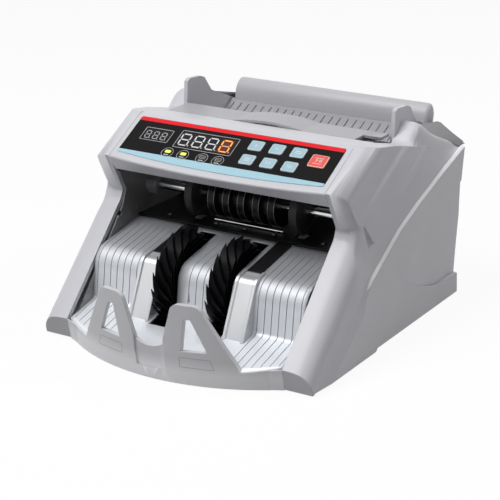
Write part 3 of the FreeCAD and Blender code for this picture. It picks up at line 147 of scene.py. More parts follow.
# looks of each finish: two colours that cloud into each other, roughness, depth of grain and edge in mm
clouds = {"size": 24, "grain": 0.8, "swing": 0.12}  # blotches and grain in mm, and how far roughness swings
looks = {
    "shell_grey": tone((0.56, 0.56, 0.60), (0.60, 0.60, 0.635), 0.40, 0.012, 0.7),
    # the bed's silver turns darker above 50 to 70 mm: painted shade from the head over its rear slope
    "bed_silver": tone((0.66, 0.68, 0.72), (0.72, 0.74, 0.77), 0.54, 0.006, 0.4,
                       metal=0.45, high=(0.40, 0.41, 0.435), fade=(50.0, 70.0)),
    "slide_silver": tone((0.56, 0.57, 0.59), (0.62, 0.63, 0.64), 0.42, 0.003, 0.6, metal=0.7),
    "plate_steel": tone((0.26, 0.26, 0.265), (0.31, 0.31, 0.315), 0.45, 0.006, 0.3, metal=0.55),
    "polished_steel": tone((0.66, 0.66, 0.67), (0.74, 0.74, 0.745), 0.16, 0.002, 0.2, metal=1.0),
    "black_plastic": tone((0.006, 0.006, 0.008), (0.011, 0.011, 0.013), 0.30, 0.005, 0.3, gloss=0.18),
    "black_rubber": tone((0.016, 0.016, 0.017), (0.028, 0.028, 0.03), 0.62, 0.02, 0.4),
    "bush_grey": tone((0.18, 0.18, 0.188), (0.23, 0.23, 0.238), 0.45, 0.008, 0.4),
    "motor_steel": tone((0.36, 0.36, 0.36), (0.44, 0.44, 0.44), 0.36, 0.004, 0.4, metal=0.9),
    "overlay_film": tone((0.006, 0.005, 0.0055), (0.010, 0.009, 0.0095), 0.42, 0.003, 0.15, gloss=0.05),
    "display_dark": tone((0.014, 0.013, 0.015), (0.021, 0.020, 0.023), 0.3, 0.001, 0.1, gloss=0.07),
    "lamp_lens": tone((0.012, 0.012, 0.012), (0.018, 0.018, 0.018), 0.3, 0.001, 0.15, gloss=0.15),
    "key_blue": tone((0.33, 0.50, 0.58), (0.38, 0.55, 0.63), 0.45, 0.006, 0.2, gloss=0.3),
    "key_red": tone((0.78, 0.085, 0.07), (0.84, 0.12, 0.095), 0.45, 0.006, 0.2, gloss=0.3),
    "key_rim": tone((0.56, 0.66, 0.68), (0.62, 0.71, 0.73), 0.45, 0.003, 0.1, gloss=0.3),
    "start_rim": tone((0.82, 0.50, 0.44), (0.88, 0.58, 0.50), 0.45, 0.003, 0.1, gloss=0.3),
    "board_green": tone((0.02, 0.13, 0.055), (0.03, 0.18, 0.075), 0.4, 0.01, 0.2, grain=1.5),
    "coil_core": tone((0.10, 0.095, 0.09), (0.16, 0.15, 0.14), 0.5, 0.01, 0.4, metal=0.5),
    "screw_steel": tone((0.03, 0.03, 0.032), (0.06, 0.06, 0.062), 0.3, 0.004, 0.2, metal=0.7),
    "red_ink": tone((0.76, 0.010, 0.018), (0.82, 0.016, 0.024), 0.4, 0.002, 0.05, gloss=0.15),
    "blue_ink": tone((0.37, 0.58, 0.68), (0.41, 0.63, 0.72), 0.42, 0.002, 0.05, gloss=0.2),
    "white_ink": tone((0.66, 0.67, 0.68), (0.76, 0.77, 0.78), 0.4, 0.001, 0.05),
    "pale_ink": tone((0.46, 0.46, 0.47), (0.54, 0.54, 0.55), 0.4, 0.001, 0.05, gloss=0.2),
    "haze_red": tone((0.10, 0.018, 0.004), (0.15, 0.028, 0.006), 0.4, 0.001, 0.05, gloss=0.15),
    "groove_shade": tone((0.24, 0.24, 0.25), (0.30, 0.30, 0.31), 0.5, 0.002, 0.1),
    "wheel_black": tone((0.003, 0.003, 0.004), (0.006, 0.006, 0.007), 0.28, 0.003, 0.2, gloss=0.05),
    # a darker grey that paints in shade on the note rest, the toes' fronts and the left roof
    "painted_half_shade": tone((0.45, 0.45, 0.475), (0.49, 0.49, 0.51), 0.42, 0.012, 0.6),
    # the lid's darker grey is painted shade on the head's rear
    "lid_painted_shade": tone((0.35, 0.35, 0.37), (0.39, 0.39, 0.41), 0.42, 0.012, 0.6),
    # the wall's pale grey paints in light from the floor, and its darker grey above 11 to 22 mm paints
    # shade on the stops
    "wall_painted_light_shade": tone((0.80, 0.80, 0.835), (0.84, 0.84, 0.87), 0.40, 0.012, 0.7,
                      high=(0.61, 0.61, 0.64), fade=(11.0, 22.0)),
    # the tray's darker grey is painted shade in its recess
    "tray_painted_shade": tone((0.30, 0.30, 0.32), (0.34, 0.34, 0.36), 0.45, 0.012, 0.5),
    # a dark grey that paints in shade on the right roof behind the crest
    "painted_deep_shade": tone((0.17, 0.17, 0.18), (0.20, 0.20, 0.212), 0.45, 0.012, 0.5),
    # a pale strip that paints the highlight along the flank's ledge
    "ledge_painted_highlight": tone((0.90, 0.90, 0.92), (0.94, 0.94, 0.95), 0.4, 0.004, 0.3),
    # near-black metal that paints in the shade and dark reflection under the head
    "tongue_painted_shade": tone((0.03, 0.03, 0.032), (0.05, 0.05, 0.053), 0.22, 0.002, 0.2, metal=0.7),
    "seam_shade": tone((0.22, 0.22, 0.23), (0.28, 0.28, 0.29), 0.5, 0.002, 0.1),
    # pale rings on the drum's disc edges: a painted highlight
    "rim_painted_highlight": tone((0.16, 0.16, 0.165), (0.22, 0.22, 0.225), 0.3, 0.002, 0.1, metal=0.5),
}


def plainFinish(name, look):
    finish = Finish(bpy.data.materials.new(name))
    cloud = finish.noise(clouds["size"], detail=3)
    grain = finish.noise(look.get("grain", clouds["grain"]), detail=2)
    colour = finish.tint(cloud, (*look["first"], 1), (*look["second"], 1))
    # painted shade: the third colour darkens the bed's rear slope and the wall's stops
    if "fade" in look:  # a third colour that comes in between two heights
        low, high = look["fade"]
        height = finish.node("ShaderNodeSeparateXYZ", {}, {0: finish.spot()}, 2)
        rise = (height - low * mm) / ((high - low) * mm)
        amount = finish.node("ShaderNodeClamp", {}, {"Value": rise})
        colour = finish.tint(amount, colour, (*look["high"], 1))
    return finish.coat({
        "Base Color": colour,
        "Roughness": look["rough"] - clouds["swing"] / 2 + clouds["swing"] * grain,
        "Normal": finish.bump(grain, look["depth"], look["edge"]),
        "Metallic": look.get("metal", 0.0),
        "Specular IOR Level": look.get("gloss", 0.5),
    })


glows = {"blotch": 3, "dim": 0.86, "rough": 0.3}  # blotches in mm, how dark they are


def glowFinish(name, colour, strength):
    finish = Finish(bpy.data.materials.new(name))
    cloud = finish.noise(glows["blotch"], detail=1)
    shade = finish.tint(cloud, (*[glows["dim"] * part for part in colour], 1), (*colour, 1))
    return finish.coat({"Base Color": shade, "Emission Color": shade, "Emission Strength": strength,
                        "Roughness": glows["rough"]})


finishes = {name: plainFinish(name, look) for name, look in looks.items()}
finishes["lit_orange"] = glowFinish("lit_orange", (1.0, 0.36, 0.07), strength=0.75)
finishes["lit_green"] = glowFinish("lit_green", (0.66, 0.74, 0.12), strength=0.6)
print("finishes:", len(finishes))


def addObject(name, data):
    thing = bpy.data.objects.new(name, data)
    bpy.context.scene.collection.objects.link(thing)
    return thing


def newPiece(name, mesh, finish, body, slot, replaced=()):
    if finish:
        mesh.materials.clear()
        mesh.materials.append(finishes[finish])
    piece = addObject(name, mesh)
    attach(piece, body)
    if replaced:
        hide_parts(*replaced)
    return piece


def meshFrom(name, points, faces, edges=()):
    mesh = bpy.data.meshes.new(name)
    mesh.from_pydata([Vector(point) * mm for point in points], edges, faces)
    mesh.validate()
    return mesh


@contextmanager
def edited(mesh):
    work = bmesh.new()
    work.from_mesh(mesh)
    yield work
    work.to_mesh(mesh)
    work.free()


def shadeSmooth(mesh, angle):  # edges that bend by more degrees stay sharp
    mesh.polygons.foreach_set("use_smooth", [True] * len(mesh.polygons))
    mesh.set_sharp_from_angle(angle=math.radians(angle))


# CAD nodes: a merged, smooth copy of each one, apart from those left to a piece of their own
skins = {
    "sharpAngle": 28, "crisp": {"hopper_tray": 6}, "merge": 0.002,
    "flat": ("right_cheek", "left_cheek"), "flatness": 0.9999,
    # the tray and the lid take darker greys, painted shade, and the front wall its painted light and shade
    "finish": {"hopper_tray": "tray_painted_shade", "pinch_rollers": "white_ink", "hopper_cover": "lid_painted_shade",
               "front_wall": "wall_painted_light_shade"},
    "left": ["stacker_bed", "stacker_wheel_right", "stacker_wheel_left", "note_slide_right",
             "note_slide_left", "cover_screws", "note_rest", "start_key"]
            + [f"key_{number}" for number in range(1, 7)],
}


def skinOf(node):
    mesh = cadNodes[node].data.copy()
    with edited(mesh) as work:
        bmesh.ops.remove_doubles(work, verts=work.verts, dist=skins["merge"] * mm)
        bmesh.ops.dissolve_degenerate(work, edges=work.edges, dist=skins["merge"] * mm)
    shadeSmooth(mesh, skins["crisp"].get(node, skins["sharpAngle"]))
    if node in skins["flat"]:  # a flat side keeps its own normals beside its soft edges
        with edited(mesh) as work:
            for edge in work.edges:
                sides = [abs(face.normal.x) > skins["flatness"] for face in edge.link_faces]
                if any(sides) and not all(sides):
                    edge.smooth = False
    finish = skins["finish"].get(node, slotOf[node])
    piece = newPiece(node + "_skin", mesh, finish, bodyOf[node], slotOf[node], [node])
    flat = piece.modifiers.new("flatFaces", "WEIGHTED_NORMAL")
    flat.keep_sharp = True


for node in cadNodes:
    cadNodes[node].data.materials.clear()
    cadNodes[node].data.materials.append(finishes[slotOf[node]])
    if node not in skins["left"]:
        skinOf(node)
print("smooth skins made")


# Geometry Nodes: a tree with named inputs, and a way to bake it into a plain mesh
class Recipe(Tree):
    def __init__(self, name, build, floats, wholes=()):
        super().__init__(bpy.data.node_groups.new(name, "GeometryNodeTree"))
        sockets = self.tree.interface
        kinds = {"Geometry": "Geometry", "Finish": "Material"}
        kinds |= dict.fromkeys(floats, "Float") | dict.fromkeys(wholes, "Int")
        self.names = {}
        for label, kind in kinds.items():
            made = sockets.new_socket(label, in_out="INPUT", socket_type="NodeSocket" + kind)
            self.names[label] = made.identifier
        sockets.new_socket("Geometry", in_out="OUTPUT", socket_type="NodeSocketGeometry")
        self.source = self.tree.nodes.new("NodeGroupInput")
        real = self.node("RealizeInstances", {}, {"Geometry": build(self)})
        coated = self.node("SetMaterial", {}, {"Geometry": real, "Material": self.given("Finish")})
        self.end("NodeGroupOutput", coated)

    def given(self, label):
        return Wire(self, self.source.outputs[label])

    def node(self, kind, settings, sockets, output=0):
        if not kind.startswith("Shader"):
            kind = "GeometryNode" + kind
        return super().node(kind, settings, sockets, output)

    def carried(self, name):  # a vector that each point brings along
        return self.node("InputNamedAttribute", {"data_type": "FLOAT_VECTOR"}, {"Name": name})

    def join(self, *parts):
        made = self.tree.nodes.new("GeometryNodeJoinGeometry")
        for part in parts:
            self.tree.links.new(part.socket, made.inputs[0])
        return Wire(self, made.outputs[0])

    def bake(self, name, source, finish, values):
        carrier = addObject(name + "Source", source)
        modifier = carrier.modifiers.new("recipe", "NODES")
        modifier.node_group = self.tree
        for label, value in {**values, "Finish": finishes[finish]}.items():
            modifier[self.names[label]] = value
        ready = carrier.evaluated_get(bpy.context.evaluated_depsgraph_get())
        mesh = bpy.data.meshes.new_from_object(ready)
        carrier.modifiers.remove(modifier)
        bpy.data.objects.remove(carrier)
        mesh.name = name
        return mesh


# a round line that follows paths of edges
def beadTree(tree):
    path = tree.node("MeshToCurve", {}, {"Mesh": tree.given("Geometry")})
    ring = tree.node("CurvePrimitiveCircle", {}, {"Resolution": tree.given("Sides"),
                                                  "Radius": tree.given("Radius")})
    tube = tree.node("CurveToMesh", {}, {"Curve": path, "Profile Curve": ring, "Fill Caps": True})
    return tree.node("SetShadeSmooth", {}, {"Geometry": tube})


beadRecipe = Recipe("beadRecipe", beadTree, ["Radius"], ["Sides"])


def beads(name, paths, radius, finish, body, slot, sides=8):  # paths of (points in mm, closed)
    points = []
    edges = []
    for path, closed in paths:
        start = len(points)
        points += path
        edges += [(start + step, start + step + 1) for step in range(len(path) - 1)]
        if closed:
            edges.append((len(points) - 1, start))
    source = meshFrom(name + "Path", points, [], edges)
    mesh = beadRecipe.bake(name, source, finish, {"Radius": radius * mm, "Sides": sides})
    newPiece(name, mesh, None, body, slot)


# small bars on points: each point carries how far its bar is turned, and how long and wide it is
def stampTree(tree):
    bar = tree.node("MeshCube", {}, {"Size": (1, 1, 1)})
    lift = tree.vector(1.0, 1.0, tree.given("Height"))
    size = tree.node("ShaderNodeVectorMath", {"operation": "MULTIPLY"}, {0: tree.carried("size"), 1: lift})
    return tree.node("InstanceOnPoints", {}, {"Points": tree.given("Geometry"), "Instance": bar,
                                              "Rotation": tree.carried("turn"), "Scale": size})


stampRecipe = Recipe("stampRecipe", stampTree, ["Height"])


def pointMesh(name, points, **fields):  # points in mm, and vectors that they bring along
    mesh = meshFrom(name, points, [])
    for label, vectors in fields.items():
        field = mesh.attributes.new(label, "FLOAT_VECTOR", "POINT")
        for number, vector in enumerate(vectors):
            field.data[number].vector = vector
    return mesh


# the sloping panel: u to the right, v up the slope, w out of it
panel = {"middleY": -31.2, "middleZ": 151.4, "tilt": 28.9, "filmTop": 0.5, "windowTop": 0.3, "sink": 0.02,
         "markSink": 0.1}
panelMatrix = (Matrix.Translation((0, panel["middleY"] * mm, panel["middleZ"] * mm))
               @ Matrix.Rotation(math.radians(panel["tilt"]), 4, "X"))


def spread(first, last, steps):
    return [first + (last - first) * step / steps for step in range(steps + 1)]


def roundedBox(left, right, low, high, radius, steps=6):
    points = []
    corners = ((right - radius, high - radius, 0), (left + radius, high - radius, 90),
               (left + radius, low + radius, 180), (right - radius, low + radius, 270))
    for x, y, start in corners:
        for step in range(steps + 1):
            angle = math.radians(start + 90 * step / steps)
            points.append((x + radius * math.cos(angle), y + radius * math.sin(angle)))
    return points


def ringAt(u, v, radius, steps=40):
    turns = [2 * math.pi * step / steps for step in range(steps)]
    return [(u + radius * math.cos(turn), v + radius * math.sin(turn)) for turn in turns]


# loops of the same outline stacked one on the other, closed at both ends
def stacked(name, loops):
    count = len(loops[0])
    points = [point for loop in loops for point in loop]
    faces = [tuple(range(count))[::-1], tuple(range(len(points) - count, len(points)))]
    for level in range(len(loops) - 1):
        for step in range(count):
            near = level * count + step
            side = level * count + (step + 1) % count
            faces.append((near, side, side + count, near + count))
    return meshFrom(name, points, faces)


# a slab between two edges that have as many points each
def slab(name, near, far, drop, finish):
    count = len(near)
    points = list(near) + list(far)
    points += [tuple(part - less for part, less in zip(point, drop)) for point in points]
    faces = []
    for step in range(count - 1):
        quad = (step, step + 1, count + step + 1, count + step)
        faces.append(quad)
        faces.append(tuple(corner + 2 * count for corner in quad[::-1]))
    rim = list(range(count)) + list(range(2 * count - 1, count - 1, -1))
    for step, corner in enumerate(rim):
        other = rim[(step + 1) % len(rim)]
        faces.append((other, corner, corner + 2 * count, other + 2 * count))
    mesh = meshFrom(name, points, faces)
    with edited(mesh) as work:
        bmesh.ops.recalc_face_normals(work, faces=work.faces)
    shadeSmooth(mesh, angle=40)
    newPiece(name, mesh, finish, "chassis", "shell_grey")


def printed(name, outline, low, high, finish, slot):
    mesh = stacked(name, [[(u, v, low) for u, v in outline], [(u, v, high) for u, v in outline]])
    mesh.transform(panelMatrix)
    newPiece(name, mesh, finish, "chassis", slot)


# bars of (u, v, w, turn in degrees, length, width)
def stamped(name, bars, height, finish, slot, body="chassis"):
    sizes = [(long * mm, wide * mm, mm) for *spot, turn, long, wide in bars]
    turns = [(0, 0, math.radians(turn)) for *spot, turn, long, wide in bars]
    source = pointMesh(name + "Bars", [bar[:3] for bar in bars], size=sizes, turn=turns)
    mesh = stampRecipe.bake(name, source, finish, {"Height": height})
    mesh.transform(panelMatrix)
    newPiece(name, mesh, None, body, slot)


def onPanel(points, w):
    return [(panelMatrix @ (Vector((u, v, w)) * mm)) / mm for u, v in points]


# film: a red strip along the top and a bowed blue one along the foot
film = {"half": 93.5, "top": 19.1, "redLow": 14.8, "blueTop": -19.4, "blueEnd": -22.4, "blueBow": -27.4,
        "blueSunk": -0.03, "bowSteps": 48, "inset": 0.25, "ink": 0.06, "corner": 1.5}


def filmPrint():
    top = panel["filmTop"]
    edge = film["half"] - film["inset"]
    high = film["top"] - film["inset"]
    red = roundedBox(-edge, edge, film["redLow"] - 2 * film["corner"], high, film["corner"])
    red = [(u, max(v, film["redLow"])) for u, v in red]  # round at the top corners only
    red = [point for number, point in enumerate(red) if point != red[number - 1]]
    printed("red_strip", red, top - panel["sink"], top + film["ink"], "red_ink", "overlay_film")
    blue = []
    for u in spread(-edge, edge, film["bowSteps"]):
        blue.append((u, film["blueBow"] + (film["blueEnd"] - film["blueBow"]) * (u / edge) ** 2))
    blue += [(edge, film["blueTop"]), (-edge, film["blueTop"])]
    printed("blue_strip", blue, film["blueSunk"], top + film["ink"], "blue_ink", "overlay_film")


filmPrint()

# two displays: white frames, seven-bar figures and the last figure lit
displays = {
    "batch": dict(frame=(-82.0, -56.2, -5.6, 8.1), first=-77.35, pitch=7.47, foot=-3.1, tall=7.8, wide=4.1,
                  stroke=0.65, figures=3, ink="pale_ink", lit=-1),
    "count": dict(frame=(-48.9, 3.9, -8.2, 10.7), first=-42.4, pitch=12.53, foot=-4.8, tall=12.1, wide=7.95,
                  stroke=1.15, figures=4, ink="white_ink", lit=3),
}
figure = {"slant": -0.05, "gap": 0.3, "ink": 0.08, "haze": (1.3, 1.2, 0.8), "frameCorner": 0.9,
          "frameBead": 0.26}


def figureBars(middle, size):
    wide, tall, stroke, foot = size["wide"], size["tall"], size["stroke"], size["foot"]
    top, half, gap = panel["windowTop"], tall / 2, figure["gap"]
    lean = math.degrees(math.atan(figure["slant"]))
    bars = []
    for height in (half, 0, tall):
        shift = figure["slant"] * (height - half)
        bars.append((middle + shift, foot + height, top, 0, wide - stroke - gap, stroke))
    for height in (half / 2, 1.5 * half):
        for side in (-wide / 2, wide / 2):
            shift = side + figure["slant"] * (height - half)
            bars.append((middle + shift, foot + height, top, 90 - lean, half - stroke - gap, stroke))
    return bars


def displayFigures(name, size):
    pale, dim, bright = [], [], []
    stroke, foot, half, top = size["stroke"], size["foot"], size["wide"] / 2, panel["windowTop"]
    for number in range(size["figures"]):
        middle = size["first"] + size["pitch"] * number
        bars = figureBars(middle, size)
        if number == size["lit"]:
            dim.append(bars[0])
            bright += bars[1:]
            beside, above, corner = figure["haze"]
            haze = roundedBox(middle - half - beside, middle + half + beside, foot - above,
                              foot + size["tall"] + above, corner)
            printed("lit_haze", haze, top - panel["sink"], top + panel["sink"], "haze_red", "display_dark")
        else:
            pale += bars
        dim.append((middle + half + 1.5 * stroke, foot, top, 0, stroke, stroke))
    groups = (("figures", pale, size["ink"]), ("dots", dim, "pale_ink"),
              ("lit_figure", bright, "lit_orange"))
    for label, bars, finish in groups:
        if bars:
            stamped(f"{name}_{label}", bars, figure["ink"], finish, "display_dark")


frames = []
for name, size in displays.items():
    displayFigures(name, size)
    frames.append((onPanel(roundedBox(*size["frame"], figure["frameCorner"]), panel["filmTop"]), True))
beads("display_frames", frames, figure["frameBead"], "pale_ink", "chassis", "overlay_film")

# lamps: a white ring round each, a lit patch in the first two, an empty one in the others, a blank mark
lamps = {"places": (-49.6, -35.2, -17.5, -3.0), "v": -15.3, "ring": 5.0, "lit": 2, "patch": (2.6, 1.5),
         "rise": 1.15, "mark": (1.1, 1.2), "markStep": 1.5, "markHigh": 0.3, "drop": 2.45, "corner": 0.9,
         "glow": 0.1, "barInset": 1.0, "bead": 0.22}


def lampFaces():
    rings = []
    marks = []
    top = panel["filmTop"]
    wide, tall = lamps["patch"]
    for number, u in enumerate(lamps["places"]):
        v = lamps["v"] + lamps["rise"]
        rings.append((onPanel(ringAt(u, lamps["v"], lamps["ring"]), top + film["ink"]), True))
        mark = (lamps["v"] - lamps["drop"], top - panel["markSink"], 0, *lamps["mark"])
        marks += [(u + lamps["markStep"] * step, *mark) for step in (-1, 0, 1)]
        patch = roundedBox(u - wide, u + wide, v - tall, v + tall, lamps["corner"], steps=4)
        if number < lamps["lit"]:
            printed(f"lamp_glow_{number + 1}", patch, panel["windowTop"] - panel["sink"],
                    top + lamps["glow"], "lit_green", "lamp_lens")
        else:
            rings.append((onPanel(patch, top), True))
            half = wide - lamps["barInset"]
            rings.append((onPanel([(u - half, v), (u + half, v)], top), False))
    beads("lamp_rings", rings, lamps["bead"], "pale_ink", "chassis", "lamp_lens")
    stamped("lamp_marks", marks, lamps["markHigh"], "pale_ink", "lamp_lens")


lampFaces()

# keys: caps with a soft shoulder and a shallow dish, each with a plain mark
keyShape = {"width": 12.0, "height": 10.5, "corner": 1.6, "cornerLoss": 0.5, "cornerLeast": 0.3,
            "top": 1.3, "deep": -6.6, "rim": 0.9, "rimTop": -0.3, "column": 20.5, "pitch": 18.7,
            "rows": (6.7, -9.0), "start": (77.8, 1.4, 14.6, 13.0), "pale": (3, 6), "markHigh": 0.14,
            "shoulder": ((0, -0.55), (0.12, -0.25), (0.35, -0.06), (0.75, 0.0), (1.6, -0.06), (3.4, -0.12))}
keyMarks = {
    "key_1": [(0, 0, turn, 3.0, 0.6) for turn in (0, 90)],
    "key_2": [(0, 0, 0, 3.0, 0.6)],
    "key_3": [(0, y, 0, 5.4, 0.6) for y in (0.9, -0.9)],
    "key_4": [(0, y, 0, 4.6, 0.6) for y in (1.3, 0, -1.3)],
    "key_5": [(x, 0, 90, 3.2, 0.6) for x in (-1.3, 1.3)],
    "key_6": [(x, 0, 90, 3.2, 0.6) for x in (-1.7, 0, 1.7)],
    "start_key": [(0, y, 0, 7.2, 0.5) for y in (2.9, -2.9)]
                 + [(-1.5, 0, 60, 2.6, 0.6), (-1.5, 1.0, -35, 2.4, 0.6)]
                 + [(x, 0.3, 90, 2.8, 0.6) for x in (1.2, 2.6)],
}


def keyCap(name, u, v, width, height):
    def loop(inset, w):
        left, right = u - width / 2 + inset, u + width / 2 - inset
        low, high = v - height / 2 + inset, v + height / 2 - inset
        corner = keyShape["corner"] - max(inset, 0) * keyShape["cornerLoss"]
        corner = max(corner, keyShape["cornerLeast"])
        return [(x, y, w) for x, y in roundedBox(left, right, low, high, corner)]
    rim, top = keyShape["rim"], keyShape["top"]
    levels = [(-rim, keyShape["deep"]), (-rim, keyShape["rimTop"]), (0, keyShape["rimTop"])]
    levels += [(inset, top + drop) for inset, drop in keyShape["shoulder"]]
    loops = [loop(inset, w) for inset, w in levels]
    mesh = stacked(name + "_cap", loops)
    mesh.materials.append(finishes[slotOf[name]])
    mesh.materials.append(finishes["start_rim" if name == "start_key" else "key_rim"])
    first, last = [2 + level * len(loops[0]) for level in keyShape["pale"]]
    rims = [int(first <= face < last) for face in range(len(mesh.polygons))]
    mesh.polygons.foreach_set("material_index", rims)
    mesh.transform(panelMatrix)
    shadeSmooth(mesh, angle=40)
    newPiece(name + "_cap", mesh, None, bodyOf[name], slotOf[name], [name])
    foot = top - panel["markSink"]
    bars = [(u + x, v + y, foot, turn, long, wide) for x, y, turn, long, wide in keyMarks[name]]
    stamped(name + "_mark", bars, keyShape["markHigh"], "white_ink", slotOf[name], bodyOf[name])


for row, v in enumerate(keyShape["rows"]):
    for column in range(3):
        u = keyShape["column"] + column * keyShape["pitch"]
        keyCap(f"key_{row * 3 + column + 1}", u, v, keyShape["width"], keyShape["height"])
keyCap("start_key", *keyShape["start"])
print("panel printed")

# front wall: the leaning curve that the bed's front edge, the labels and the wall's ends follow
wall = {"centre": 15.0, "radius": 160.0, "lean": 0.1, "foot": 1.0, "end": 97.9, "endTop": 18.6}

# stacker bed: one sheet over the knee to the floor, with pinstripe grooves that run out before its edges
bed = {"half": 96.5, "rear": (-19.5, 77.5), "knee": (-79.5, 65.9), "kneeRound": 16.0, "foot": (-84.5, 26.9),
       "footRound": 4.0, "floorEnd": (-146.0, 11.5), "sheet": 2.0, "slot": (17.0, 32.0, -100.7, -23.5),
       "channel": (37.0, 48.5, -66.0), "grooves": 7, "grooveFrom": 56.0, "grooveTo": 93.2,
       "middleGrooves": (-6.6, 0.0, 6.6), "middleSunk": (44, 74), "middleDark": (46, 72),
       "grooveWide": 0.6, "grooveDeep": 0.35, "darkFrom": 0.3, "runIn": ((-30, 0.4), (-44, 1)),
       "runOut": ((0.35, 1), (0.7, 0.9), (0.8, 0), (1.0, 0)),
       "rimRadius": 159.6, "hiddenRadius": 156.8, "hiddenTo": 58.0}


def cornerArc(before, corner, after, radius, steps):
    first = (Vector(before) - Vector(corner)).normalized()
    second = (Vector(after) - Vector(corner)).normalized()
    half = first.angle(second) / 2
    reach = radius / math.tan(half)
    centre = Vector(corner) + (first + second).normalized() * (radius / math.sin(half))
    start = Vector(corner) + first * reach - centre
    end = Vector(corner) + second * reach - centre
    turn = start.angle_signed(end)
    arc = []
    for step in range(steps + 1):
        angle = -turn * step / steps
        arc.append(centre + Vector((start.x * math.cos(angle) - start.y * math.sin(angle),
                                    start.x * math.sin(angle) + start.y * math.cos(angle))))
    return arc


# across a line of points, to the right of the way that it runs
def normalAt(line, number):
    ahead = line[min(number + 1, len(line) - 1)] - line[max(number - 1, 0)]
    return Vector((ahead.y, -ahead.x)).normalized()


# (y, z) stations from the rear to the start of the curved front edge, each with the groove's share of depth
def bedLine():
    rear, knee, foot, end = bed["rear"], bed["knee"], bed["foot"], bed["floorEnd"]

    def onRear(y):
        return Vector((y, rear[1] + (knee[1] - rear[1]) * (y - rear[0]) / (knee[0] - rear[0])))

    def onFloor(y):
        return Vector((y, foot[1] + (end[1] - foot[1]) * (y - foot[0]) / (end[0] - foot[0])))
    shares = ((rear[0], 0), (bed["slot"][3], 0), *bed["runIn"], (bed["channel"][2], 1))
    line = [(onRear(y), share) for y, share in shares]
    line += [(spot, 1) for spot in cornerArc(rear, knee, foot, bed["kneeRound"], steps=14)]
    line += [(spot, 1) for spot in cornerArc(knee, foot, end, bed["footRound"], steps=6)]
    line += [(onFloor(bed["slot"][2]), 1)]
    return line, onFloor


def frontEdge(x, onFloor):
    rim = bed["rimRadius"] if abs(x) > bed["hiddenTo"] else bed["hiddenRadius"]
    y = -140.0  # a first guess, which comes to rest on the wall's curve
    for step in range(8):
        radius = rim + wall["lean"] * (onFloor(y)[1] - wall["foot"])
        y = wall["centre"] - math.sqrt(radius ** 2 - x ** 2)
    return y


def bedSheet():
    line, onFloor = bedLine()
    half, deep = bed["grooveWide"] / 2, bed["grooveDeep"]
    side = spread(bed["grooveFrom"], bed["grooveTo"], bed["grooves"] - 1)
    grooves = sorted([-x for x in side] + list(bed["middleGrooves"]) + side)
    slotIn, slotOut, slotFront, slotRear = bed["slot"]
    channelIn, channelOut, channelFront = bed["channel"]
    (sunkLow, sunkHigh), (darkLow, darkHigh) = bed["middleSunk"], bed["middleDark"]
    edges = (slotIn, slotOut, channelIn, channelOut, bed["half"])
    stations = {x: 0 for edge in edges for x in (edge, -edge)}
    for x in grooves:
        stations.update({x - half: 0, x - half / 2: deep, x: deep, x + half / 2: deep, x + half: 0})
    columns = sorted(stations)
    last = line[-1][0].x
    rows = []
    for x in columns:
        reach = frontEdge(x, onFloor) - last
        rows.append(line + [(onFloor(last + reach * part), share) for part, share in bed["runOut"]])
    points = []
    count = len(rows[0])
    for x, column in zip(columns, rows):
        spots = [spot for spot, share in column]
        for number, (spot, share) in enumerate(column):
            normal = normalAt(spots, number)
            fade = share * (1 if abs(x) > slotIn or sunkLow < spot.y < sunkHigh else 0)
            sunk = spot - normal * stations[x] * fade * (-1 if normal.y < 0 else 1)
            points.append((x, sunk.x, sunk.y))
    faces = []
    dark = []
    for number in range(len(columns) - 1):
        x = (columns[number] + columns[number + 1]) / 2
        for place in range(count - 1):
            y = (rows[number][place][0].x + rows[number][place + 1][0].x) / 2
            inSlot = slotIn < abs(x) < slotOut and slotFront < y < slotRear
            inChannel = channelIn < abs(x) < channelOut and y > channelFront
            if inSlot or inChannel:
                continue
            near = number * count + place
            faces.append((near, near + 1, near + count + 1, near + count))
            spot, share = rows[number][place]
            inGroove = any(abs(x - groove) < half for groove in grooves) and share > bed["darkFrom"]
            dark.append(1 if inGroove and (abs(x) > slotIn or darkLow < spot.y < darkHigh) else 0)
    return meshFrom("stacker_bed_sheet", points, faces), dark


def bedPiece():
    mesh, dark = bedSheet()
    mesh.materials.append(finishes["bed_silver"])
    mesh.materials.append(finishes["groove_shade"])
    mesh.polygons.foreach_set("material_index", dark)
    with edited(mesh) as work:
        bmesh.ops.delete(work, geom=[v for v in work.verts if not v.link_faces], context="VERTS")
        bmesh.ops.recalc_face_normals(work, faces=work.faces)
        if sum(face.normal.z for face in work.faces) < 0:
            bmesh.ops.reverse_faces(work, faces=work.faces)
    shadeSmooth(mesh, angle=30)
    piece = newPiece("stacker_bed_sheet", mesh, None, "chassis", "bed_silver", ["stacker_bed"])
    sheet = piece.modifiers.new("sheet", "SOLIDIFY")
    sheet.thickness = bed["sheet"] * mm
    sheet.offset = -1


bedPiece()

# note slides: a dished strip bent over the bed's knee, with a tongue behind it coloured near-black, painted
# shade
slides = {
    "edges": (34.0, 53.0), "back": (-66.0, 69.9), "knee": (-79.0, 67.3), "foot": (-99.4, 23.2),
    "kneeRound": 8.0, "tongueEdges": (37.0, 50.0),
    "dish": ((0.0, 0.5), (0.5, 0.0), (2.4, 0.0), (3.3, 1.5), (15.7, 1.5), (16.6, 0.0), (18.5, 0.0),
             (19.0, 0.5)),
    "under": ((-84.5, 26.9), (-81.0, 54.4), (-78.8, 60.7), (-75.1, 64.8), (-68.1, 68.1), (-66.0, 68.5)),
    "tongue": ((-21.0, 78.0), (-66.4, 69.2), (-66.4, 68.2), (-21.0, 77.0)),
}


def slideLoop(x, dip):
    back, knee, foot = [Vector(slides[name]) for name in ("back", "knee", "foot")]
    line = [back] + cornerArc(back, knee, foot, slides["kneeRound"], steps=10) + [foot]
    sunk = [spot - normalAt(line, number) * dip for number, spot in enumerate(line)]
    return [(x, *spot) for spot in (*sunk, *slides["under"])]


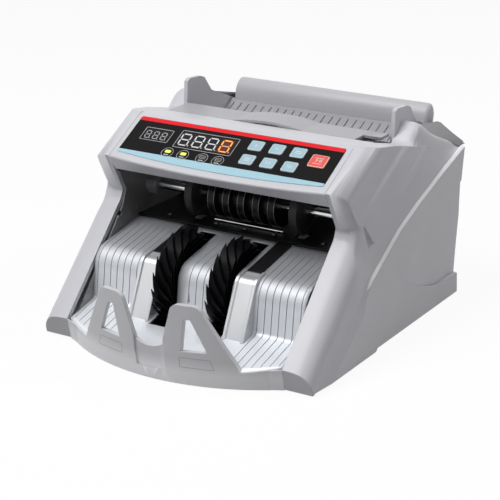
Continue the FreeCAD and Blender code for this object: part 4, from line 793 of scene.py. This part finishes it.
def slidePiece(node, start):
    mesh = stacked(node + "_strip", [slideLoop(start + shift, dip) for shift, dip in slides["dish"]])
    shadeSmooth(mesh, angle=30)
    newPiece(node + "_strip", mesh, "slide_silver", "chassis", "slide_silver", [node])
    left, right = [start - slides["edges"][0] + edge for edge in slides["tongueEdges"]]
    tongue = stacked(node + "_tongue", [[(x, y, z) for y, z in slides["tongue"]] for x in (left, right)])
    # the tongue's near-black colour is painted shade
    newPiece(node + "_tongue", tongue, "tongue_painted_shade", "chassis", "slide_silver")


slidePiece("note_slide_right", slides["edges"][0])
slidePiece("note_slide_left", -slides["edges"][1])
print("bed laid")

# stacker wheels: thin blades that trail back from the hub, tips cut on a slant
wheels = {"y": -56.0, "z": 47.5, "hub": 11.0, "reach": 41.9, "blades": 20, "sweep": -130.0, "width": 13.0,
          "thick": 0.8, "slant": 0.2, "bend": 1.35, "steps": 24,
          "left": {"stacker_wheel_right": 18.0, "stacker_wheel_left": -31.0}}


def bladeTree(tree):
    sheet = tree.node("MeshGrid", {}, {"Size X": 1.0, "Size Y": 1.0, "Vertices X": tree.given("Steps"),
                                       "Vertices Y": 5})
    spot = tree.node("InputPosition", {}, {})
    along, side = [tree.node("ShaderNodeSeparateXYZ", {}, {0: spot}, output) + 0.5 for output in (0, 1)]
    outward = along * (1.0 - side * tree.given("Slant"))  # 0 at the hub, 1 at the tip
    radius = tree.given("Hub") + (tree.given("Reach") - tree.given("Hub")) * outward
    turn = tree.given("Sweep") * outward ** tree.given("Bend")
    y, z = [radius * tree.node("ShaderNodeMath", {"operation": wave}, {0: turn})
            for wave in ("COSINE", "SINE")]
    curved = tree.vector(side * tree.given("Width"), y, z)
    bent = tree.node("SetPosition", {}, {"Geometry": sheet, "Position": curved})
    thick = tree.node("ExtrudeMesh", {}, {"Mesh": bent, "Offset Scale": tree.given("Thick"),
                                          "Individual": False})
    back = tree.node("FlipFaces", {}, {"Mesh": bent})
    blade = tree.node("MergeByDistance", {}, {"Geometry": tree.join(thick, back), "Distance": 0.01 * mm})
    seeds = tree.node("MeshLine", {}, {"Count": tree.given("Blades"), "Offset": (0, 0, 0)})
    angle = tree.node("InputIndex", {}, {}) * (2 * math.pi / tree.given("Blades"))
    spin = tree.vector(angle, 0.0, 0.0)
    ring = tree.node("InstanceOnPoints", {}, {"Points": seeds, "Instance": blade, "Rotation": spin})
    hub = tree.node("MeshCylinder", {}, {"Vertices": 48, "Radius": tree.given("Hub"),
                                         "Depth": tree.given("Width")})
    shift = tree.vector(tree.given("Width") * 0.5, 0.0, 0.0)
    laid = tree.node("Transform", {}, {"Geometry": hub, "Translation": shift,
                                       "Rotation": (0, math.pi / 2, 0)})
    return tree.join(ring, laid)


bladeSizes = ["Hub", "Reach", "Sweep", "Width", "Thick", "Slant", "Bend"]
bladeRecipe = Recipe("bladeRecipe", bladeTree, bladeSizes, ["Blades", "Steps"])
for node, left in wheels["left"].items():
    empty = bpy.data.meshes.new(node + "Seed")
    wheel = bladeRecipe.bake(node + "_blades", empty, "wheel_black", {
        "Blades": wheels["blades"], "Hub": wheels["hub"] * mm, "Reach": wheels["reach"] * mm,
        "Sweep": math.radians(wheels["sweep"]), "Width": wheels["width"] * mm,
        "Thick": wheels["thick"] * mm, "Slant": wheels["slant"], "Bend": wheels["bend"],
        "Steps": wheels["steps"]})
    wheel.transform(Matrix.Translation((left * mm, wheels["y"] * mm, wheels["z"] * mm)))
    shadeSmooth(wheel, angle=40)
    newPiece(node + "_blades", wheel, None, bodyOf[node], "black_plastic", [node])
print("stacker wheels turned")

# counting drum: a pale ring on both edges of each disc, a painted highlight on the disc's edge
drum = {"y": 0.5, "z": 101.0, "rim": 17.05, "half": 31.0, "discs": 5, "width": 6.4, "inset": 0.4,
        "bead": 0.38, "steps": 64}


def drumRimHighlights():
    pitch = (2 * drum["half"] - drum["width"]) / (drum["discs"] - 1)
    ring = ringAt(drum["y"], drum["z"], drum["rim"], drum["steps"])
    rims = []
    for number in range(drum["discs"]):
        left = -drum["half"] + pitch * number
        for x in (left + drum["inset"], left + drum["width"] - drum["inset"]):
            rims.append(([(x, y, z) for y, z in ring], True))
    beads("drum_rim_highlights", rims, drum["bead"], "rim_painted_highlight", "drum", "black_plastic")


drumRimHighlights()

# note rest: a soft bar whose ends are rounded off
rest = {"half": 94.6, "end": 4.5, "tip": 0.08, "middle": (131.5, 147.5), "steps": 9,
        "outline": ((124.6, 145.5), (125.2, 150), (126.2, 155), (127.6, 158.2), (129.5, 160.6),
                    (131.4, 162.2), (133.6, 163.2), (136.3, 163.1), (138.6, 161.9), (140.4, 159.6),
                    (141.2, 156.6), (140.7, 153), (139.6, 149.4), (136.4, 145.5))}


def restBar():
    loops = []
    for step in range(rest["steps"] + 1):
        share = (step / rest["steps"]) ** 2
        size = math.sqrt(1 - (1 - share) ** 2) if step else rest["tip"]
        loops.append((rest["end"] * share, size))
    stations = [(-rest["half"] + deep, size) for deep, size in loops]
    stations += [(rest["half"] - deep, size) for deep, size in loops[::-1]]
    middleY, middleZ = rest["middle"]
    bars = []
    for x, size in stations:
        bars.append([(x, middleY + (y - middleY) * size, middleZ + (z - middleZ) * size)
                     for y, z in rest["outline"][::-1]])
    mesh = stacked("note_rest_bar", bars)
    shadeSmooth(mesh, angle=50)
    # the bar's darker grey is painted shade
    newPiece("note_rest_bar", mesh, "painted_half_shade", "chassis", "shell_grey", ["note_rest"])


restBar()
print("drum and rest dressed")

# screws: pan heads with a cross, on the baffle and on the rear cover
screws = {"radius": 2.6, "high": 1.4, "crown": 0.78, "cross": (2.9, 0.62, 0.8),
          "baffle": [(x, -9.0, 79.5) for x in (-72, -27, 0, 27, 72)], "baffleLean": (0, 0, 0.5),
          "rear": [(x, 143.5, z) for x in (-90, 90) for z in (14, 112)], "rearLean": (-math.pi / 2, 0, 0.3)}


def screwTree(tree):
    radius, high = tree.given("Radius"), tree.given("High")
    head = tree.node("MeshCone", {}, {"Vertices": 28, "Side Segments": 2, "Radius Bottom": radius,
                                      "Radius Top": radius * tree.given("Crown"), "Depth": high})
    lift = tree.vector(0.0, 0.0, high - tree.given("Deep") + high * 0.5)
    for long, wide in (("Long", "Wide"), ("Wide", "Long")):
        bar = tree.node("MeshCube", {}, {"Size": tree.vector(tree.given(long), tree.given(wide), high)})
        cutter = tree.node("Transform", {}, {"Geometry": bar, "Translation": lift})
        head = tree.node("MeshBoolean", {"operation": "DIFFERENCE"}, {0: head, 1: cutter})
    return tree.node("InstanceOnPoints", {}, {"Points": tree.given("Geometry"), "Instance": head,
                                              "Rotation": tree.carried("lean")})


screwRecipe = Recipe("screwRecipe", screwTree, ["Radius", "High", "Crown", "Long", "Wide", "Deep"])
screwPoints = [(place, screws[side + "Lean"]) for side in ("baffle", "rear") for place in screws[side]]
places, leans = zip(*screwPoints)
screwSource = pointMesh("screwSource", places, lean=leans)
long, wide, deep = screws["cross"]
screwMesh = screwRecipe.bake("cover_screw_heads", screwSource, "screw_steel", {
    "Radius": screws["radius"] * mm, "High": screws["high"] * mm, "Crown": screws["crown"],
    "Long": long * mm, "Wide": wide * mm, "Deep": deep * mm})
shadeSmooth(screwMesh, angle=35)
newPiece("cover_screw_heads", screwMesh, None, "chassis", "screw_steel", ["cover_screws"])
print("screws driven")

# fine lines: joints beside the head and the wall, the shallow labels' outlines, and a notch in the bed
labels = {"left": 26.0, "right": 52.0, "low": 15.5, "high": 23.5, "lean": 2.5, "sink": 0.12, "bead": 0.22,
          "steps": 8}
seams = {"x": 98.0, "low": -28.6, "high": 21.0, "wallLow": 1.2, "out": 0.05, "bead": 0.16, "steps": 10}
notch = {"corners": ((-7.4, -82.87, 39.6), (-5.0, -82.84, 39.9), (-6.6, -81.51, 50.2)),
         "lifts": (0.4, -0.07)}


def onWall(x, z, out=0.0):
    radius = wall["radius"] + wall["lean"] * (z - wall["foot"]) + out
    return (x, wall["centre"] - math.sqrt(radius ** 2 - x ** 2), z)


def wallLabels():
    paths = []
    for side in (1, -1):
        corners = [(labels["left"], labels["low"]), (labels["right"], labels["low"]),
                   (labels["right"] - labels["lean"], labels["high"]), (labels["left"], labels["high"])]
        path = []
        for (x, z), (nextX, nextZ) in zip(corners, corners[1:] + corners[:1]):
            line = zip(spread(x, nextX, labels["steps"]), spread(z, nextZ, labels["steps"]))
            path += [onWall(side * across, up, -labels["sink"]) for across, up in line][:-1]
        paths.append((path, True))
    beads("wall_label_lines", paths, labels["bead"], "seam_shade", "chassis", "shell_grey", 6)


def seamLines():
    paths = []
    for side in (1, -1):
        heights = spread(seams["wallLow"], wall["endTop"], seams["steps"])
        paths.append(([onWall(side * wall["end"], z, seams["out"]) for z in heights], False))
        rises = spread(seams["low"], seams["high"], seams["steps"])
        paths.append((onPanel([(side * seams["x"], v) for v in rises], 0.0), False))
    beads("seam_lines", paths, seams["bead"], "seam_shade", "chassis", "shell_grey", 6)


def bedNotch():
    loops = [[(x, y + lift, z) for x, y, z in notch["corners"]] for lift in notch["lifts"]]
    newPiece("bed_notch", stacked("bed_notch", loops), "groove_shade", "chassis", "bed_silver")


# cheeks: the closed front of each toe, the wall's end beside it, the roof behind the crest, a pale strip on
# the ledge
cheeks = {
    "toe": ((98.0, 18.8), (103.0, 18.7), (106.0, 18.6), (108.0, 18.4), (110.0, 18.1), (111.3, 17.8),
            (114.0, 16.9), (115.4, 16.2), (116.4, 15.6), (117.4, 14.8), (118.6, 13.7), (119.8, 12.0),
            (121.0, 9.5), (121.7, 6.9), (121.85, 3.0)),
    "toeFoot": 2.0, "toeFace": (113.41, 0.2475), "toeDeep": 3.0,
    "flush": (88.0, 97.95, 1.2, 17.0, 18.6), "flushOut": 0.02, "flushBack": 0.1, "flushDeep": 1.5,
    "flushSteps": 6,
    "crest": ((111.3, 74.1, 162.4), (113.6, 84.3, 154.4), (113.6, 94.0, 149.3), (113.6, 106.0, 144.1),
              (113.8, 120.0, 138.8), (118.4, 138.7, 129.5)),
    "back": ((94.0, 144.2, 146.4), (97.5, 144.2, 145.7), (101.0, 144.2, 143.2), (106.0, 144.2, 139.9),
             (111.0, 144.2, 136.9), (118.2, 144.2, 132.7)),
    "roofDeep": 1.2,
    "ledge": ((-32.0, 57.6), (-28.5, 61.6), (-24.5, 64.9), (-20.0, 67.5), (20.0, 91.0), (28.2, 94.6),
              (49.0, 102.9), (67.3, 109.4), (97.8, 119.7), (114.9, 125.1), (134.0, 130.7)),
    "ledgeX": (123.95, 122.0), "ledgeRise": 1.9, "ledgeDeep": 0.8,
}


def cheekTrim():
    # painted shade on the toes' fronts and the roofs, the wall's painted light and shade on its end, and a
    # painted highlight on the ledge's strip
    for side, label, roofPaintedShade in ((1, "right", "painted_deep_shade"), (-1, "left", "painted_half_shade")):
        first, slope = cheeks["toeFace"]
        upper = [(side * x, -first - slope * z, z) for x, z in cheeks["toe"]]
        toeFoot = cheeks["toeFoot"]
        lower = [(side * x, -first - slope * toeFoot, toeFoot) for x, z in cheeks["toe"]]
        slab(f"{label}_toe_face", upper, lower, (0, -cheeks["toeDeep"], 0), "painted_half_shade")
        start, end, foot, startTop, endTop = cheeks["flush"]  # the wall's end runs out to the toe's face
        starts, ends = [spread(foot, top, cheeks["flushSteps"]) for top in (startTop, endTop)]
        inner = [onWall(side * start, z, cheeks["flushOut"]) for z in starts]
        outer = [(side * end, cheeks["flushBack"] - first - slope * z, z) for z in ends]
        slab(f"{label}_wall_end", inner, outer, (0, -cheeks["flushDeep"], 0), "wall_painted_light_shade")
        crest, back = [[(side * x, y, z) for x, y, z in cheeks[edge]] for edge in ("crest", "back")]
        slab(f"{label}_crest_roof", crest, back, (0, 0, cheeks["roofDeep"]), roofPaintedShade)
        line = [Vector(point) for point in cheeks["ledge"]]
        out, back = cheeks["ledgeX"]
        low = [(side * out, y, z) for y, z in line]
        rises = [normalAt(line, number) * cheeks["ledgeRise"] for number in range(len(line))]
        high = [(side * back, *(spot - rise)) for spot, rise in zip(line, rises)]
        inward = (side * cheeks["ledgeDeep"], 0, 0)
        slab(f"{label}_ledge_highlight_strip", low, high, inward, "ledge_painted_highlight")


wallLabels()
seamLines()
bedNotch()
cheekTrim()
print("lines drawn")


def faceTo(thing, spot, target):
    thing.location = spot
    thing.rotation_euler = (Vector(target) - Vector(spot)).to_track_quat("-Z", "Y").to_euler()


# camera at the photograph's view, its place and target in metres
view = {"place": (0.6638, -1.0928, 0.5081), "target": (0.0021, -0.0050, 0.0607), "focalPixels": 1676.62,
        "framePixels": 500, "sensor": 36.0}
cameraData = bpy.data.cameras.new("photoCamera")
cameraData.sensor_width = view["sensor"]
cameraData.lens = view["focalPixels"] * view["sensor"] / view["framePixels"]
camera = addObject("photoCamera", cameraData)
faceTo(camera, view["place"], view["target"])
bpy.context.scene.camera = camera
bpy.context.scene.view_settings.view_transform = "Standard"

# studio light in metres and watts: a large key from the left front, a wide top, a rim from the right rear
lights = {
    "key": dict(place=(-0.5, -0.95, 1.75), size=1.0, power=31),
    "top": dict(place=(-0.1, 0.1, 1.7), size=0.8, power=4),
    "rim": dict(place=(1.15, 0.85, 1.35), size=0.5, power=9),
}
aim = (0, 0, 0.06)  # near the middle of the object
for name, lamp in lights.items():
    data = bpy.data.lights.new(name + "Lamp", "AREA")
    data.energy = lamp["power"]
    data.size = lamp["size"]
    faceTo(addObject(name + "Lamp", data), lamp["place"], aim)


def seenRay(finish):  # 1 for rays that show the background, 0 for rays that light the object
    kinds = ("Is Camera Ray", "Is Glossy Ray", "Is Transmission Ray")
    camera, glossy, through = [finish.node("ShaderNodeLightPath", {}, {}, kind) for kind in kinds]
    return finish.node("ShaderNodeClamp", {}, {"Value": camera + glossy + through})


backdrop = {"ambient": 0.09, "white": 1.0, "floorWhite": 0.93, "floorShade": 0.45, "floorPale": 0.9,
            "floorHalf": 4000}
world = bpy.data.worlds.new("studio")
bpy.context.scene.world = world
sky = Finish(world)
strength = backdrop["ambient"] + (backdrop["white"] - backdrop["ambient"]) * seenRay(sky)
glow = sky.node("ShaderNodeBackground", {}, {"Color": (1, 1, 1, 1), "Strength": strength})
sky.end("ShaderNodeOutputWorld", glow)

floorFinish = Finish(bpy.data.materials.new("paleFloor"))
seen = seenRay(floorFinish)
dark, pale = [(level, level, level, 1) for level in (backdrop["floorShade"], backdrop["floorPale"])]
matt = floorFinish.node("ShaderNodeBsdfDiffuse", {}, {"Color": floorFinish.tint(seen, dark, pale)})
glow = floorFinish.node("ShaderNodeEmission", {}, {"Color": (1, 1, 1, 1), "Strength": 1.0})
share = seen * backdrop["floorWhite"]
blend = floorFinish.node("ShaderNodeMixShader", {}, {0: share, 1: matt, 2: glow})
floorFinish.end("ShaderNodeOutputMaterial", blend)
reach = backdrop["floorHalf"]
floorCorners = [(-reach, -reach, 0), (reach, -reach, 0), (reach, reach, 0), (-reach, reach, 0)]
floorMesh = meshFrom("floor", floorCorners, [(0, 1, 2, 3)])
floorMesh.materials.append(floorFinish.owner)
addObject("floor", floorMesh)
print("studio set")
